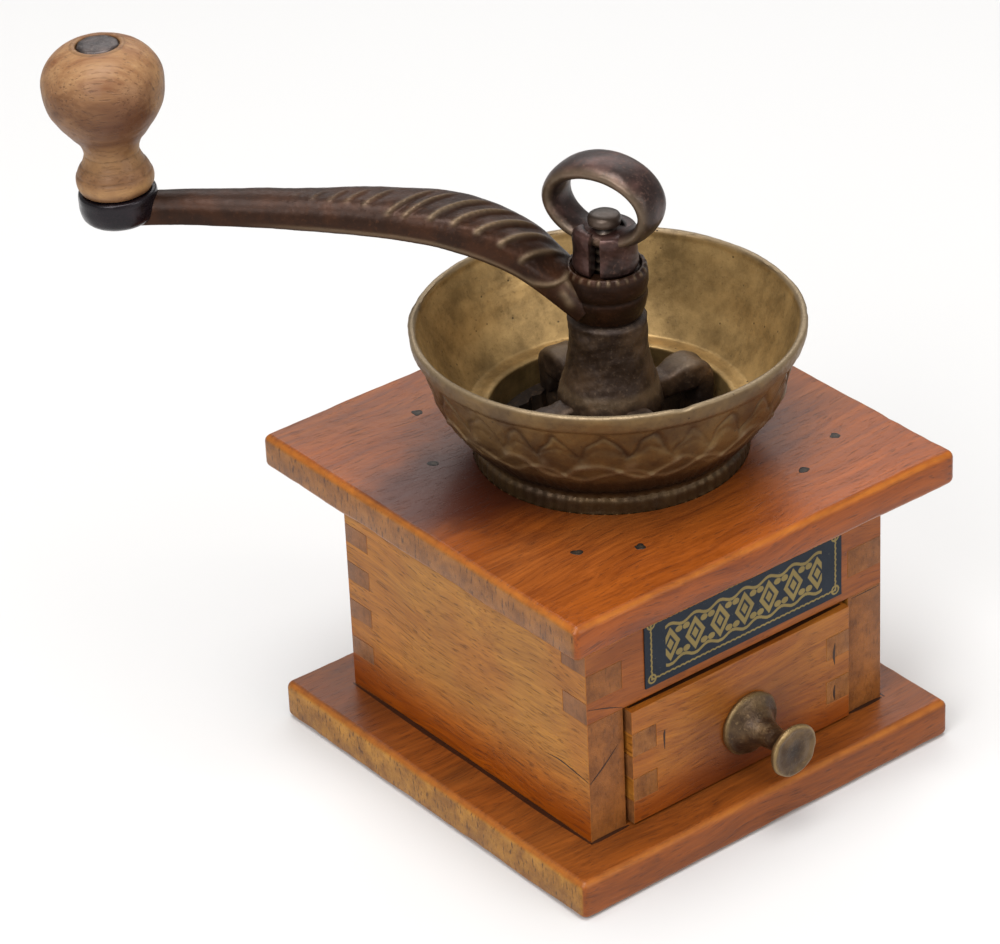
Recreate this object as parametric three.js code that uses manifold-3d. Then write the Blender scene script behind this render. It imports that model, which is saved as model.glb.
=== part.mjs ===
// Small box coffee mill: a nailed wooden case with a drawer, a cast bowl and burr mill in its
// top board, and a fluted crank with a turned knob. Millimetres, +Z up, the drawer faces -Y.
// The origin is the middle of the base board's underside.

import * as THREE from 'three';
import { mergeVertices } from 'three/addons/utils/BufferGeometryUtils.js';
import Module from 'manifold-3d';

const wasm = await Module();
wasm.setup();

// Driving dimensions: boards of the case
const baseWidth = 81.9;
const baseDepth = 82.2;
const baseThickness = 7.3;
const topWidth = 82.6;
const topDepth = 83.6;
const topThickness = 6.5;
const boardRound = 1.2;
const boardCorner = 1.25;

const caseWidth = 65;
const caseDepth = 64.8;
const caseHeight = 43.6;
const caseOffset = 0.5;
const sideThickness = 7.6;
const railThickness = 6.2;
const backThickness = 6.2;
const railHeight = 20.4;

// Finger joints of the case: the back's rows and the rail's rows
const backFinger = 3.6;
const backFingerStart = 6.4;
const backFingerEnd = 3.2;
const backFingerCount = 5;
const railFinger = 4.1;
const railFingerEnd = 6.9;
const railFingerCount = 2;

// Nails
const nailRadius = 0.6;
const nailHeadRadius = 1.05;
const nailHeadThickness = 0.7;
const nailGrip = 9;
const fastenerGap = 0.15;

// Paper label on the rail
const labelWidth = 43.4;
const labelHeight = 13.4;
const labelThickness = 0.2;
const labelOffset = 1.6;
const labelAboveOpening = 1.7;

// Drawer
const drawerGap = 0.8;
const drawerUnderGap = 0.35;
const drawerOverGap = 0.65;
const drawerProud = 1.2;
const drawerBackGap = 1.2;
const drawerFrontThickness = 5.6;
const drawerSideThickness = 5.2;
const drawerBackThickness = 4.4;
const drawerBottomThickness = 1.8;
const drawerBottomInset = 1.6;
const drawerGroove = 1.6;
const drawerRows = 5;

// Drawer knob and its screw
const knobFlangeRadius = 5.9;
const knobNeckRadius = 2;
const knobHeadRadius = 4.85;
const knobHeadThickness = 1.7;
const knobLength = 12.2;
const knobOffset = 1.2;
const knobHeightShare = 0.405;
const knobScrewRadius = 1.1;
const knobScrewDepth = 5;
const knobScrewHeadRadius = 2.6;
const knobScrewHeadThickness = 1.4;

// Mill axis, bowl and ledge
const millX = 0.6;
const millY = -0.8;
const bowlHeight = 24;
const bowlRimRadius = 33.1;
const bowlFootRadius = 23.4;
const bowlFootHeight = 3.1;
const bowlWall = 2.1;
const bowlFootLip = 2.8;
const ledgeHeight = 7.4;
const ledgeWidth = 3.7;

// Bridge: a column on four bent arms
const bridgeAngle = -8;
const bridgeArms = 4;
const columnHeight = 24.9;
const columnRadius = 6.6;
const columnFlare = 8.8;
const columnFoot = 5;
const armRise = 11.8;
const armDepth = 5.2;
const armBarWidth = 6.2;
const armRound = 0.9;
const postInset = 1.7;
const postWidth = 3.6;

// Outer burr
const burrBowlGap = 1;
const burrGap = 0.4;
const burrRimHeight = 3.1;
const burrRingWall = 3;
const burrTaper = 3.2;
const burrDepth = 14.4;
const burrSkirtWall = 2;
const burrFlangeWidth = 2.8;
const burrFlangeThickness = 2.3;
const burrTeeth = 30;
const burrToothDepth = 0.8;
const bridgeScrewRadius = 0.9;
const bridgeScrewGrip = 5;
const bridgeScrewHeadRadius = 1.6;
const bridgeScrewHeadThickness = 1.3;

// Grinding cone and its cross pin
const coneGap = 0.8;
const coneTopRadius = 5.4;
const coneTopTooth = 0.6;
const coneCrownShare = 0.7;
const coneHeight = 15.6;
const coneTeeth = 12;
const coneToothDepth = 1.3;
const coneTwist = 40;
const pinRadius = 0.8;
const pinLength = 9;
const pinHeight = 4.6;

// Spindle
const spindleRadius = 2.2;
const spindleGap = 0.3;
const spindleTravel = 0.9;
const spindleRise = 9.7;
const spindleSquare = 4.4;
const threadRadius = 2.1;
const spindleCapRadius = 2.8;
const spindleCapThickness = 2;
const spindleFootRadius = 3.2;
const spindleFootThickness = 1.4;

// Crank hub
const crankAngle = 137.4;
const hubLift = 0.3;
const hubHeight = 9.2;
const hubRadius = 7;
const hubFootRadius = 5.9;
const hubRecessRadius = 5.9;
const hubRecessDepth = 0.7;
const hubBeads = 24;
const hubBeadDepth = 0.35;

// Crank arm, its flutes and its boss
const crankLength = 80;
const crankRise = 16.6;
const crankRunStart = 3.7;
const crankWidth = 13.5;
const crankThickness = 6.5;
const fluteDepth = 0.7;
const flutePitch = 3.9;
const fluteSweep = 6;
const fluteFrom = 9.5;
const fluteTo = 53;
const bossRadius = 6.9;
const bossThickness = 5.6;
const bossBelow = 2.5;
const knobLean = 2.3;

// Turned knob and its rivet
const gripHeight = 26;
const gripRadius = 10.25;
const gripRecessRadius = 3.7;
const gripRecessDepth = 1.2;
const gripBoreGap = 0.3;
const gripLift = 0.3;
const rivetRadius = 1.5;
const rivetHeadRadius = 3.3;
const rivetHeadHeight = 1.2;
const rivetEndRadius = 2.7;
const rivetEndHeight = 1.1;

// Ring nut
const nutAngle = 201;
const nutLift = 0.3;
const nutRadius = 5.5;
const nutCollarHeight = 7.2;
const nutBoreGap = 0.3;
const nutSeatRadius = 3.3;
const nutSeatDepth = 1;
const nutSlotWidth = 2;
const eyeHeight = 12;
const eyeRadius = 10.4;
const eyeRiseRadius = 7.9;
const eyeBand = 4.4;
const eyeThickness = 3.3;

// One overrun serves every cut
const overrun = 1;

// Radii that the bowl's foot gives
const bowlBore = bowlFootRadius - bowlFootLip;
const ledgeRadius = bowlBore + ledgeWidth;
const burrRingRadius = bowlBore - burrBowlGap;
const burrMouthRadius = burrRingRadius - burrRingWall;
const burrThroatRadius = burrMouthRadius - burrTaper;
const burrSkirtRadius = burrThroatRadius + burrSkirtWall;
const burrFlangeRadius = burrRingRadius + burrFlangeWidth;
const postRadius = burrRingRadius - postInset;
const coneRadius = burrThroatRadius - coneGap;

// Heights that the sizes above give
const caseTop = baseThickness + caseHeight;
const boardTop = caseTop + topThickness;
const railBottom = caseHeight - railHeight;
const drawerHeight = railBottom - drawerUnderGap - drawerOverGap;
const hubBottom = columnHeight + hubLift;
const hubTop = hubBottom + hubHeight;
const nutBottom = hubTop - hubRecessDepth + nutLift;
const armEnd = hubBottom + crankRunStart + crankRise;
const bossTop = armEnd - bossBelow + bossThickness;
const coneBottom = -burrDepth;
const spindleBottom = coneBottom - spindleGap - spindleFootThickness;
const spindleTop = nutBottom + spindleRise;
const drawerWidth = caseWidth - 2 * sideThickness - 2 * drawerGap;
const drawerDepth = caseDepth + drawerProud - backThickness - drawerBackGap;

// Finishes
function finish(color, roughness, metalness) {
  return new THREE.MeshStandardMaterial({ color, roughness, metalness });
}

const stainedWood = () => finish(0x9a5528, 0.42, 0);
const drawerWood = () => finish(0xa8663a, 0.5, 0);
const turnedWood = () => finish(0xb58657, 0.45, 0);
const bowlCasting = () => finish(0x9a7d4c, 0.45, 0.85);
const darkIron = () => finish(0x3a2c28, 0.45, 0.8);
const knobCasting = () => finish(0x7d6b4e, 0.42, 0.85);
const nailSteel = () => finish(0x4b443e, 0.55, 0.8);
const labelPaper = () => finish(0x39404f, 0.8, 0);

// Small helpers
const radians = (degrees) => THREE.MathUtils.degToRad(degrees);

function place(geometry, x, y, z) {
  return geometry.clone().translate(x, y, z);
}

// Stands a shape drawn in Y and Z on edge, so that it is extruded along +X.
function facingX(geometry) {
  const basis = new THREE.Matrix4().makeBasis(
    new THREE.Vector3(0, 1, 0),
    new THREE.Vector3(0, 0, 1),
    new THREE.Vector3(1, 0, 0),
  );
  return geometry.applyMatrix4(basis);
}

// Stands a shape drawn in X and Z upright, so that it is extruded along -Y.
function facingY(geometry) {
  return geometry.rotateX(Math.PI / 2);
}

// A turned shape about Z from [radius, height] pairs.
function turned(pairs, segments) {
  const profile = pairs.map(([radius, height]) => new THREE.Vector2(radius, height));
  return new THREE.LatheGeometry(profile, segments).rotateX(Math.PI / 2);
}

// A round bar about Z between two heights.
function bar(radius, low, high, segments = 24) {
  const geometry = new THREE.CylinderGeometry(radius, radius, high - low, segments);
  return geometry.rotateX(Math.PI / 2).translate(0, 0, (low + high) / 2);
}

function block(width, depth, height, x, y, z) {
  return new THREE.BoxGeometry(width, depth, height).translate(x, y, z);
}

// Solids for cutting and joining.
function solid(geometry) {
  const plain = geometry.clone();
  plain.deleteAttribute('normal');
  plain.deleteAttribute('uv');
  const merged = mergeVertices(plain);
  return new wasm.Manifold(new wasm.Mesh({
    numProp: 3,
    vertProperties: new Float32Array(merged.attributes.position.array),
    triVerts: new Uint32Array(merged.index.array),
  }));
}

function geometryOf(body) {
  const mesh = body.getMesh();
  const geometry = new THREE.BufferGeometry();
  geometry.setAttribute('position', new THREE.BufferAttribute(mesh.vertProperties, 3));
  geometry.setIndex(new THREE.BufferAttribute(mesh.triVerts, 1));
  return geometry;
}

function joined(geometries) {
  return geometries.map(solid).reduce((whole, next) => whole.add(next));
}

function cut(body, geometries) {
  return geometries.map(solid).reduce((rest, tool) => rest.subtract(tool), body);
}

// Joins loops of points into one closed skin; an open run gets a flat fan at each end.
function loft(loops, closed) {
  const count = loops[0].length;
  const points = loops.flat();
  const faces = [];
  const runs = closed ? loops.length : loops.length - 1;
  for (let i = 0; i < runs; i += 1) {
    const a = i * count;
    const b = ((i + 1) % loops.length) * count;
    for (let j = 0; j < count; j += 1) {
      const k = (j + 1) % count;
      faces.push(a + j, b + j, b + k, a + j, b + k, a + k);
    }
  }
  if (!closed) {
    for (const [start, turn] of [[0, 0], [(loops.length - 1) * count, 1]]) {
      const loop = points.slice(start, start + count);
      const middle = loop.reduce((sum, p) => sum.add(p), new THREE.Vector3()).divideScalar(count);
      const hub = points.push(middle) - 1;
      for (let j = 0; j < count; j += 1) {
        const k = (j + 1) % count;
        faces.push(hub, start + (turn ? k : j), start + (turn ? j : k));
      }
    }
  }
  return outward(points, faces);
}

// Turns the faces over where the enclosed volume comes out negative.
function outward(points, faces) {
  let volume = 0;
  for (let i = 0; i < faces.length; i += 3) {
    const [a, b, c] = [points[faces[i]], points[faces[i + 1]], points[faces[i + 2]]];
    volume += a.dot(new THREE.Vector3().crossVectors(b, c));
  }
  const ordered = volume < 0 ? [...faces].reverse() : faces;
  const geometry = new THREE.BufferGeometry();
  geometry.setAttribute('position', new THREE.Float32BufferAttribute(points.flatMap((p) => p.toArray()), 3));
  geometry.setIndex(ordered);
  return geometry;
}

// A ring about Z whose profile points are [radius, height, tooth share]; the teeth stand out
// by the tooth depth where the share is 1, and lean over by the twist from bottom to top.
function toothedRing(profile, teeth, depth, steps, twist = 0) {
  const heights = profile.map((point) => point[1]);
  const low = Math.min(...heights);
  const span = Math.max(...heights) - low;
  const loops = [];
  for (let i = 0; i < teeth * steps; i += 1) {
    const turn = (2 * Math.PI * i) / (teeth * steps);
    loops.push(profile.map(([radius, height, share]) => {
      const lean = radians(twist) * ((height - low) / span);
      const wave = (1 - Math.abs(2 * ((i / steps) % 1) - 1)) * share * depth;
      const angle = turn + lean;
      return new THREE.Vector3((radius + wave) * Math.cos(angle), (radius + wave) * Math.sin(angle), height);
    }));
  }
  return loft(loops, true);
}

// Reads a table of [place share, value share, ...] rows at a share, with a smooth curve.
function tableAt(rows, share, column) {
  let i = 0;
  while (i < rows.length - 2 && share > rows[i + 1][0]) i += 1;
  const before = rows[Math.max(i - 1, 0)];
  const after = rows[Math.min(i + 2, rows.length - 1)];
  const [from, to] = [rows[i], rows[i + 1]];
  const t = (share - from[0]) / (to[0] - from[0]);
  const slopeFrom = (to[column] - before[column]) / (to[0] - before[0]);
  const slopeTo = (after[column] - from[column]) / (after[0] - from[0]);
  const width = to[0] - from[0];
  const t2 = t * t;
  const t3 = t2 * t;
  return (2 * t3 - 3 * t2 + 1) * from[column] + (t3 - 2 * t2 + t) * width * slopeFrom
    + (3 * t2 - 2 * t3) * to[column] + (t3 - t2) * width * slopeTo;
}

const whole = new THREE.Group();

function add(name, geometry, material, parent = whole) {
  const mesh = new THREE.Mesh(geometry, material);
  mesh.name = name;
  parent.add(mesh);
  return mesh;
}

// Boards with rounded edges
function roundedBoard(width, depth, thickness) {
  const outline = new THREE.Shape();
  const x = width / 2;
  const y = depth / 2;
  const r = boardCorner;
  outline.moveTo(-x + r, -y);
  outline.lineTo(x - r, -y);
  outline.absarc(x - r, -y + r, r, -Math.PI / 2, 0);
  outline.lineTo(x, y - r);
  outline.absarc(x - r, y - r, r, 0, Math.PI / 2);
  outline.lineTo(-x + r, y);
  outline.absarc(-x + r, y - r, r, Math.PI / 2, Math.PI);
  outline.lineTo(-x, -y + r);
  outline.absarc(-x + r, -y + r, r, Math.PI, 1.5 * Math.PI);
  const geometry = new THREE.ExtrudeGeometry(outline, {
    depth: thickness - 2 * boardRound,
    bevelThickness: boardRound,
    bevelSize: boardRound,
    bevelOffset: -boardRound,
    bevelSegments: 2,
    curveSegments: 2,
  });
  return geometry.translate(0, 0, boardRound);
}

// Rows of fingers as [low, high] pairs, spread evenly between the first one's foot and the last one's top.
function fingerRows(low, high, height, count) {
  const pitch = (high - low - height) / (count - 1);
  return Array.from({ length: count }, (_, i) => [low + i * pitch, low + i * pitch + height]);
}

const backRows = fingerRows(backFingerStart, caseHeight - backFingerEnd, backFinger, backFingerCount);
const railRows = fingerRows(railBottom, caseHeight - railFingerEnd, railFinger, railFingerCount);
const drawerRow = drawerHeight / drawerRows;
const drawerFingers = fingerRows(drawerRow, drawerHeight - drawerRow, drawerRow, (drawerRows - 1) / 2);

// The end of a board from low to high: at plain, and at stepped inside every row.
function steppedEnd(rows, plain, stepped, low, high) {
  const points = [];
  const push = (x, z) => {
    const last = points[points.length - 1];
    if (!last || last[0] !== x || last[1] !== z) points.push([x, z]);
  };
  const startsInRow = rows.length > 0 && rows[0][0] <= low;
  if (!startsInRow) push(plain, low);
  for (const [from, to] of rows) {
    if (from > low) push(plain, from);
    push(stepped, from);
    push(stepped, to);
    push(plain, to);
  }
  push(plain, high);
  return points;
}

function outlineOf(points) {
  return new THREE.Shape(points.map(([x, y]) => new THREE.Vector2(x, y)));
}

function extruded(outline, depth) {
  return new THREE.ExtrudeGeometry(outline, { depth, bevelEnabled: false });
}

// Nails: each stands at [x, y] with its head flush, pointing down or up.
const nailLength = topThickness + nailGrip;

function nailGeometry(gap, direction, length) {
  const head = nailHeadRadius + gap;
  const shank = nailRadius + gap;
  const neck = -(nailHeadThickness + gap);
  const end = -(length + gap);
  const side = [[0, end - shank], [shank, end], [shank, neck], [head, neck], [head, gap], [0, gap]];
  const geometry = turned(side, 8);
  return direction > 0 ? geometry : geometry.rotateX(Math.PI);
}

// Nail places as shares: across the board that the nail enters, and along half its length.
const leftNailShares = [[0.8, 0.44], [0.8, -0.735]];
const rightNailShares = [[0.42, 0.44], [0.42, -0.755]];
const endNailShares = [[0.48, -0.55], [0.48, 0.55]];

function nailPlaces(withRail) {
  const x = caseWidth / 2;
  const y = caseDepth / 2;
  const left = leftNailShares.map(([a, b]) => [caseOffset - x + sideThickness * a, y * b]);
  const right = rightNailShares.map(([a, b]) => [caseOffset + x - sideThickness * a, y * b]);
  const back = endNailShares.map(([a, b]) => [caseOffset + x * b, y - backThickness * a]);
  const rail = endNailShares.map(([a, b]) => [caseOffset + x * b, -y + railThickness * a]);
  return [...left, ...right, ...back, ...(withRail ? rail : [])];
}

const topNails = nailPlaces(true);
const baseNails = nailPlaces(false);
const baseNailLength = baseThickness + nailGrip;

function topNailHoles() {
  return topNails.map(([x, y]) => place(nailGeometry(fastenerGap, 1, nailLength), x, y, boardTop));
}

function baseNailHoles() {
  return baseNails.map(([x, y]) => place(nailGeometry(fastenerGap, -1, baseNailLength), x, y, 0));
}

// Case: base board, top board, two sides, back and rail
function addBoards() {
  const base = cut(solid(roundedBoard(baseWidth, baseDepth, baseThickness)), baseNailHoles());
  add('base_board', geometryOf(base), stainedWood());
  const hole = bar(burrRingRadius + burrGap, -overrun, topThickness + overrun, 40);
  const board = place(roundedBoard(topWidth, topDepth, topThickness), 0, 0, caseTop);
  const bored = cut(solid(board), [place(hole, millX, millY, caseTop), ...topNailHoles()]);
  add('top_board', geometryOf(bored), stainedWood());
}

function sidePanel() {
  const y = caseDepth / 2;
  const front = steppedEnd(railRows, -y, -y + railThickness, 0, caseHeight);
  const back = steppedEnd(backRows, y, y - backThickness, 0, caseHeight);
  return facingX(extruded(outlineOf([...back, ...front.reverse()]), sideThickness));
}

function endPanel(rows, low, thickness) {
  const x = caseWidth / 2;
  const right = steppedEnd(rows, x - sideThickness, x, low, caseHeight);
  const left = right.map(([px, pz]) => [-px, pz]).reverse();
  return facingY(extruded(outlineOf([...right, ...left]), thickness));
}

function addCase() {
  const x = caseWidth / 2;
  const y = caseDepth / 2;
  const holes = [...topNailHoles(), ...baseNailHoles()];
  const rail = endPanel(railRows, railBottom, railThickness);
  const panels = [
    ['left_panel', place(sidePanel(), caseOffset - x, 0, baseThickness)],
    ['right_panel', place(sidePanel(), caseOffset + x - sideThickness, 0, baseThickness)],
    ['back_panel', place(endPanel(backRows, 0, backThickness), caseOffset, y, baseThickness)],
    ['front_rail', place(rail, caseOffset, -y + railThickness, baseThickness)],
  ];
  for (const [name, geometry] of panels) {
    add(name, geometryOf(cut(solid(geometry), holes)), stainedWood());
  }
}

function addNails() {
  topNails.forEach(([x, y], i) => {
    add(`top_nail_${i + 1}`, nailGeometry(0, 1, nailLength), nailSteel()).position.set(x, y, boardTop);
  });
  baseNails.forEach(([x, y], i) => {
    add(`base_nail_${i + 1}`, nailGeometry(0, -1, baseNailLength), nailSteel()).position.set(x, y, 0);
  });
}

function addLabel() {
  const sheet = new THREE.BoxGeometry(labelWidth, labelThickness, labelHeight);
  const label = add('paper_label', sheet, labelPaper());
  const bottom = baseThickness + railBottom + labelAboveOpening;
  label.position.set(caseOffset + labelOffset, -caseDepth / 2 - labelThickness / 2, bottom + labelHeight / 2);
}

// Drawer, in a group at the middle of its front's lower edge
const drawer = new THREE.Group();
drawer.position.set(caseOffset, -caseDepth / 2 - drawerProud, baseThickness + drawerUnderGap);
whole.add(drawer);

function drawerBottomSlot(gap) {
  const width = drawerWidth - 2 * drawerSideThickness + 2 * (drawerGroove + gap);
  const front = drawerFrontThickness - drawerGroove - gap;
  const depth = drawerDepth - front + (gap > 0 ? overrun : 0);
  const height = drawerBottomThickness + 2 * gap;
  return block(width, depth, height, 0, front + depth / 2, drawerBottomInset + drawerBottomThickness / 2);
}

function drawerScrew(gap) {
  const shank = knobScrewRadius + gap;
  const head = knobScrewHeadRadius + gap;
  const headEnd = drawerFrontThickness + knobScrewHeadThickness + gap;
  const shape = turned([
    [0, -knobScrewDepth - gap], [shank, -knobScrewDepth - gap], [shank, drawerFrontThickness],
    [head, drawerFrontThickness], [head, headEnd], [0, headEnd],
  ], 16);
  return shape.rotateX(-Math.PI / 2).translate(knobOffset, 0, drawerHeight * knobHeightShare);
}

function drawerFront() {
  const x = drawerWidth / 2;
  const right = steppedEnd(drawerFingers, x, x - drawerSideThickness, 0, drawerHeight);
  const left = right.map(([px, pz]) => [-px, pz]).reverse();
  const board = facingY(extruded(outlineOf([...right, ...left]), drawerFrontThickness));
  return place(board, 0, drawerFrontThickness, 0);
}

function drawerSide(side) {
  const front = steppedEnd(drawerFingers, drawerFrontThickness, 0, 0, drawerHeight);
  const back = [[drawerDepth, 0], [drawerDepth, drawerHeight]];
  const board = facingX(extruded(outlineOf([...back, ...front.reverse()]), drawerSideThickness));
  const x = side < 0 ? -drawerWidth / 2 : drawerWidth / 2 - drawerSideThickness;
  return place(board, x, 0, 0);
}

function addDrawer() {
  const slot = drawerBottomSlot(fastenerGap);
  const front = cut(solid(drawerFront()), [slot, drawerScrew(fastenerGap)]);
  add('drawer_front', geometryOf(front), drawerWood(), drawer);
  add('drawer_left', geometryOf(cut(solid(drawerSide(-1)), [slot])), drawerWood(), drawer);
  add('drawer_right', geometryOf(cut(solid(drawerSide(1)), [slot])), drawerWood(), drawer);
  const inside = drawerWidth - 2 * drawerSideThickness;
  const backLow = drawerBottomInset + drawerBottomThickness + fastenerGap;
  const backHeight = drawerHeight - backLow;
  const backPlace = drawerDepth - drawerBackThickness / 2;
  add('drawer_back', block(inside, drawerBackThickness, backHeight, 0, backPlace, backLow + backHeight / 2),
    drawerWood(), drawer);
  add('drawer_bottom', drawerBottomSlot(0), drawerWood(), drawer);
}

// Drawer knob: its bell as [share of the way from neck to flange, share of the length below the head],
// and its head as [share of the head's radius, share of its thickness]
const bellShares = [[1, 0.06], [0.8, 0.12], [0.55, 0.24], [0.25, 0.42], [0.06, 0.62], [0, 0.82]];
const headShares = [[0.62, 0], [0.96, 0.3], [1, 0.6], [0.9, 0.88]];

// The knob's profile from its flange to its head, with a blind hole for the screw
function drawerKnobProfile() {
  const hole = knobScrewRadius + fastenerGap;
  const headLow = knobLength - knobHeadThickness;
  const holeEnd = knobScrewDepth + fastenerGap;
  const points = [[0, holeEnd], [hole, holeEnd], [hole, 0], [knobFlangeRadius, 0]];
  for (const [out, along] of bellShares) {
    points.push([knobNeckRadius + (knobFlangeRadius - knobNeckRadius) * out, headLow * along]);
  }
  for (const [out, along] of headShares) {
    points.push([knobHeadRadius * out, headLow + knobHeadThickness * along]);
  }
  points.push([0, knobLength]);
  return points;
}

function addDrawerKnob() {
  const knob = turned(drawerKnobProfile(), 18).rotateX(Math.PI / 2);
  add('drawer_knob', knob, knobCasting(), drawer).position.set(knobOffset, 0, drawerHeight * knobHeightShare);
  add('drawer_screw', drawerScrew(0), nailSteel(), drawer);
}

// Mill, in a group on the top board at the mill's axis
const mill = new THREE.Group();
mill.position.set(millX, millY, boardTop);
whole.add(mill);

// Bowl wall as shares of the way out from foot to rim, and of the height above the foot
const bowlWallShares = [[0.13, 0.1], [0.4, 0.254], [0.62, 0.436], [0.766, 0.636], [0.86, 0.83]];
const bowlRimShares = [[0.97, 0.893], [1, 0.95], [0.965, 1]];

// Bowl foot as [share of the wall inwards, share of the foot's height], and lip as shares of the wall
// inwards and downwards
const bowlFootShares = [[0, 0.74], [0.25, 1]];
const bowlLipShares = [[0.9, 0], [1.3, 0.5]];
const ledgeEdgeShare = 0.15;

function addBowl() {
  const reach = bowlRimRadius - bowlFootRadius;
  const rise = bowlHeight - bowlFootHeight;
  const at = ([out, up]) => [bowlFootRadius + reach * out, bowlFootHeight + rise * up];
  const wall = bowlWallShares.map(at);
  const rim = bowlRimShares.map(at);
  const inner = wall.slice(2).map(([r, h]) => [r - bowlWall, h]).reverse();
  const lip = bowlLipShares.map(([inwards, down]) => {
    return [bowlRimRadius - bowlWall * inwards, bowlHeight - bowlWall * down];
  });
  const edge = bowlWall * ledgeEdgeShare;
  const profile = [
    [bowlFootRadius, 0],
    ...bowlFootShares.map(([inwards, up]) => [bowlFootRadius - bowlWall * inwards, bowlFootHeight * up]),
    ...wall,
    ...rim,
    ...lip,
    ...inner,
    [ledgeRadius, ledgeHeight + edge],
    [ledgeRadius - edge, ledgeHeight],
    [bowlBore, ledgeHeight],
    [bowlBore, 0],
    [bowlFootRadius, 0],
  ];
  add('hopper_bowl', turned(profile, 40), bowlCasting(), mill);
}

// One arm seen from its side: out of the column, over a hump and down a post to the toothed ring
function bridgeArm() {
  const inner = postRadius - postWidth / 2;
  const outer = postRadius + postWidth / 2;
  const under = armRise - armDepth;
  const side = new THREE.Shape();
  side.moveTo(columnRadius / 2, columnFoot);
  side.quadraticCurveTo((columnRadius + inner) / 2, columnFoot, inner - armDepth / 2, under - armRound / 2);
  side.quadraticCurveTo(inner, under, inner, under - armRound);
  side.lineTo(inner, burrRimHeight);
  side.lineTo(outer, burrRimHeight);
  side.lineTo(outer, under + armRound);
  side.quadraticCurveTo(outer, armRise, postRadius - armRound, armRise);
  side.quadraticCurveTo(inner - postWidth / 2, armRise, columnFlare, armRise - armRound * 2);
  side.lineTo(columnRadius / 2, armRise - armRound * 2);
  const bevel = armRound / 2;
  const geometry = new THREE.ExtrudeGeometry(side, {
    depth: armBarWidth - 2 * bevel,
    bevelThickness: bevel,
    bevelSize: bevel,
    bevelOffset: -bevel,
    bevelSegments: 1,
    curveSegments: 4,
  });
  return facingY(geometry).translate(0, armBarWidth / 2 - bevel, 0);
}

function bridgeScrew(gap) {
  const low = -topThickness - burrFlangeThickness;
  const high = burrRimHeight + bridgeScrewGrip + gap;
  const shank = bridgeScrewRadius + gap;
  const headLow = low - bridgeScrewHeadThickness;
  return turned([
    [0, headLow], [bridgeScrewHeadRadius, headLow], [bridgeScrewHeadRadius, low],
    [shank, low], [shank, high], [0, high],
  ], 10).translate(postRadius, 0, 0);
}

function aroundBridge(make) {
  const step = (2 * Math.PI) / bridgeArms;
  return Array.from({ length: bridgeArms }, (_, i) => make(i).rotateZ(radians(bridgeAngle) + i * step));
}

// Column: its flare as [share of the flare's radius, share of the way from foot to arm tops], and the rest
// as [share of the column's radius, share of the height above the arms]
const flareShares = [[0.6, 0], [0.97, 0.13], [1, 0.66], [0.95, 1]];
const columnShares = [[1.147, 0.183], [1.06, 0.38], [1.01, 0.6], [1, 1]];

function addBridge() {
  const [low, high] = [armRise - columnFoot, columnHeight - armRise];
  const flare = flareShares.map(([out, up]) => [columnFlare * out, columnFoot + low * up]);
  const shaft = columnShares.map(([out, up]) => [columnRadius * out, armRise + high * up]);
  const column = turned([[0, columnFoot], ...flare, ...shaft, [0, columnHeight]], 22);
  const bore = bar(spindleRadius + spindleGap, -overrun, columnHeight + overrun);
  const casting = joined([column, ...aroundBridge(bridgeArm)]);
  const bridge = cut(casting, [bore, ...aroundBridge(() => bridgeScrew(fastenerGap))]);
  add('spindle_bridge', geometryOf(bridge), darkIron(), mill);
  aroundBridge(() => bridgeScrew(0)).forEach((geometry, i) => {
    add(`bridge_screw_${i + 1}`, geometry, nailSteel(), mill);
  });
}

// Steps of the burr's toothed inside, as shares of its height from the top
const burrStepShares = [0, 0.3, 0.65, 1];

// Outer burr: a ring through the top board with a flange below it, toothed on the inside
function addOuterBurr() {
  const under = -topThickness;
  const flangeLow = under - burrFlangeThickness;
  const taper = burrTaper / (burrRimHeight + burrDepth);
  const inside = burrStepShares.map((share) => {
    const height = burrRimHeight - (burrRimHeight + burrDepth) * share;
    return [burrMouthRadius - taper * (burrRimHeight - height), height, 1];
  });
  const profile = [
    ...inside,
    [burrSkirtRadius, -burrDepth, 0],
    [burrSkirtRadius, flangeLow, 0],
    [burrFlangeRadius, flangeLow, 0],
    [burrFlangeRadius, under, 0],
    [burrRingRadius, under, 0],
    [burrRingRadius, burrRimHeight, 0],
  ];
  const ring = solid(toothedRing(profile, burrTeeth, burrToothDepth, 2));
  const burr = cut(ring, aroundBridge(() => bridgeScrew(fastenerGap)));
  add('outer_burr', geometryOf(burr), darkIron(), mill);
}

// Spindle side of the mill: cone, cross pin and shaft
const coneShares = [[1, 0, 0.3], [1, 0.08, 0.35], [0.84, 0.3, 0.6], [0.68, 0.56, 1], [0.52, 0.84, 1]];

function coneProfile() {
  const bore = spindleRadius + fastenerGap;
  const top = coneBottom + coneHeight;
  return [
    [bore, coneBottom, 0],
    ...coneShares.map(([out, up, tooth]) => [coneRadius * out, coneBottom + coneHeight * up, tooth]),
    [coneTopRadius, top, coneTopTooth],
    [coneTopRadius * coneCrownShare, top, 0],
    [bore, top, 0],
  ];
}

function crossPin(gap) {
  const pin = bar(pinRadius + gap, -pinLength / 2 - gap, pinLength / 2 + gap, 12);
  return pin.rotateY(Math.PI / 2).translate(0, 0, coneBottom + pinHeight);
}

function addCone() {
  const ring = solid(toothedRing(coneProfile(), coneTeeth, coneToothDepth, 3, coneTwist));
  add('grinding_cone', geometryOf(cut(ring, [crossPin(fastenerGap)])), darkIron(), mill);
  add('cone_pin', crossPin(0), nailSteel(), mill);
}

// Cap of the spindle as [share of its radius, share of its thickness]
const capShares = [[1, 0], [1, 0.65], [0.75, 0.92], [0, 1]];

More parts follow.
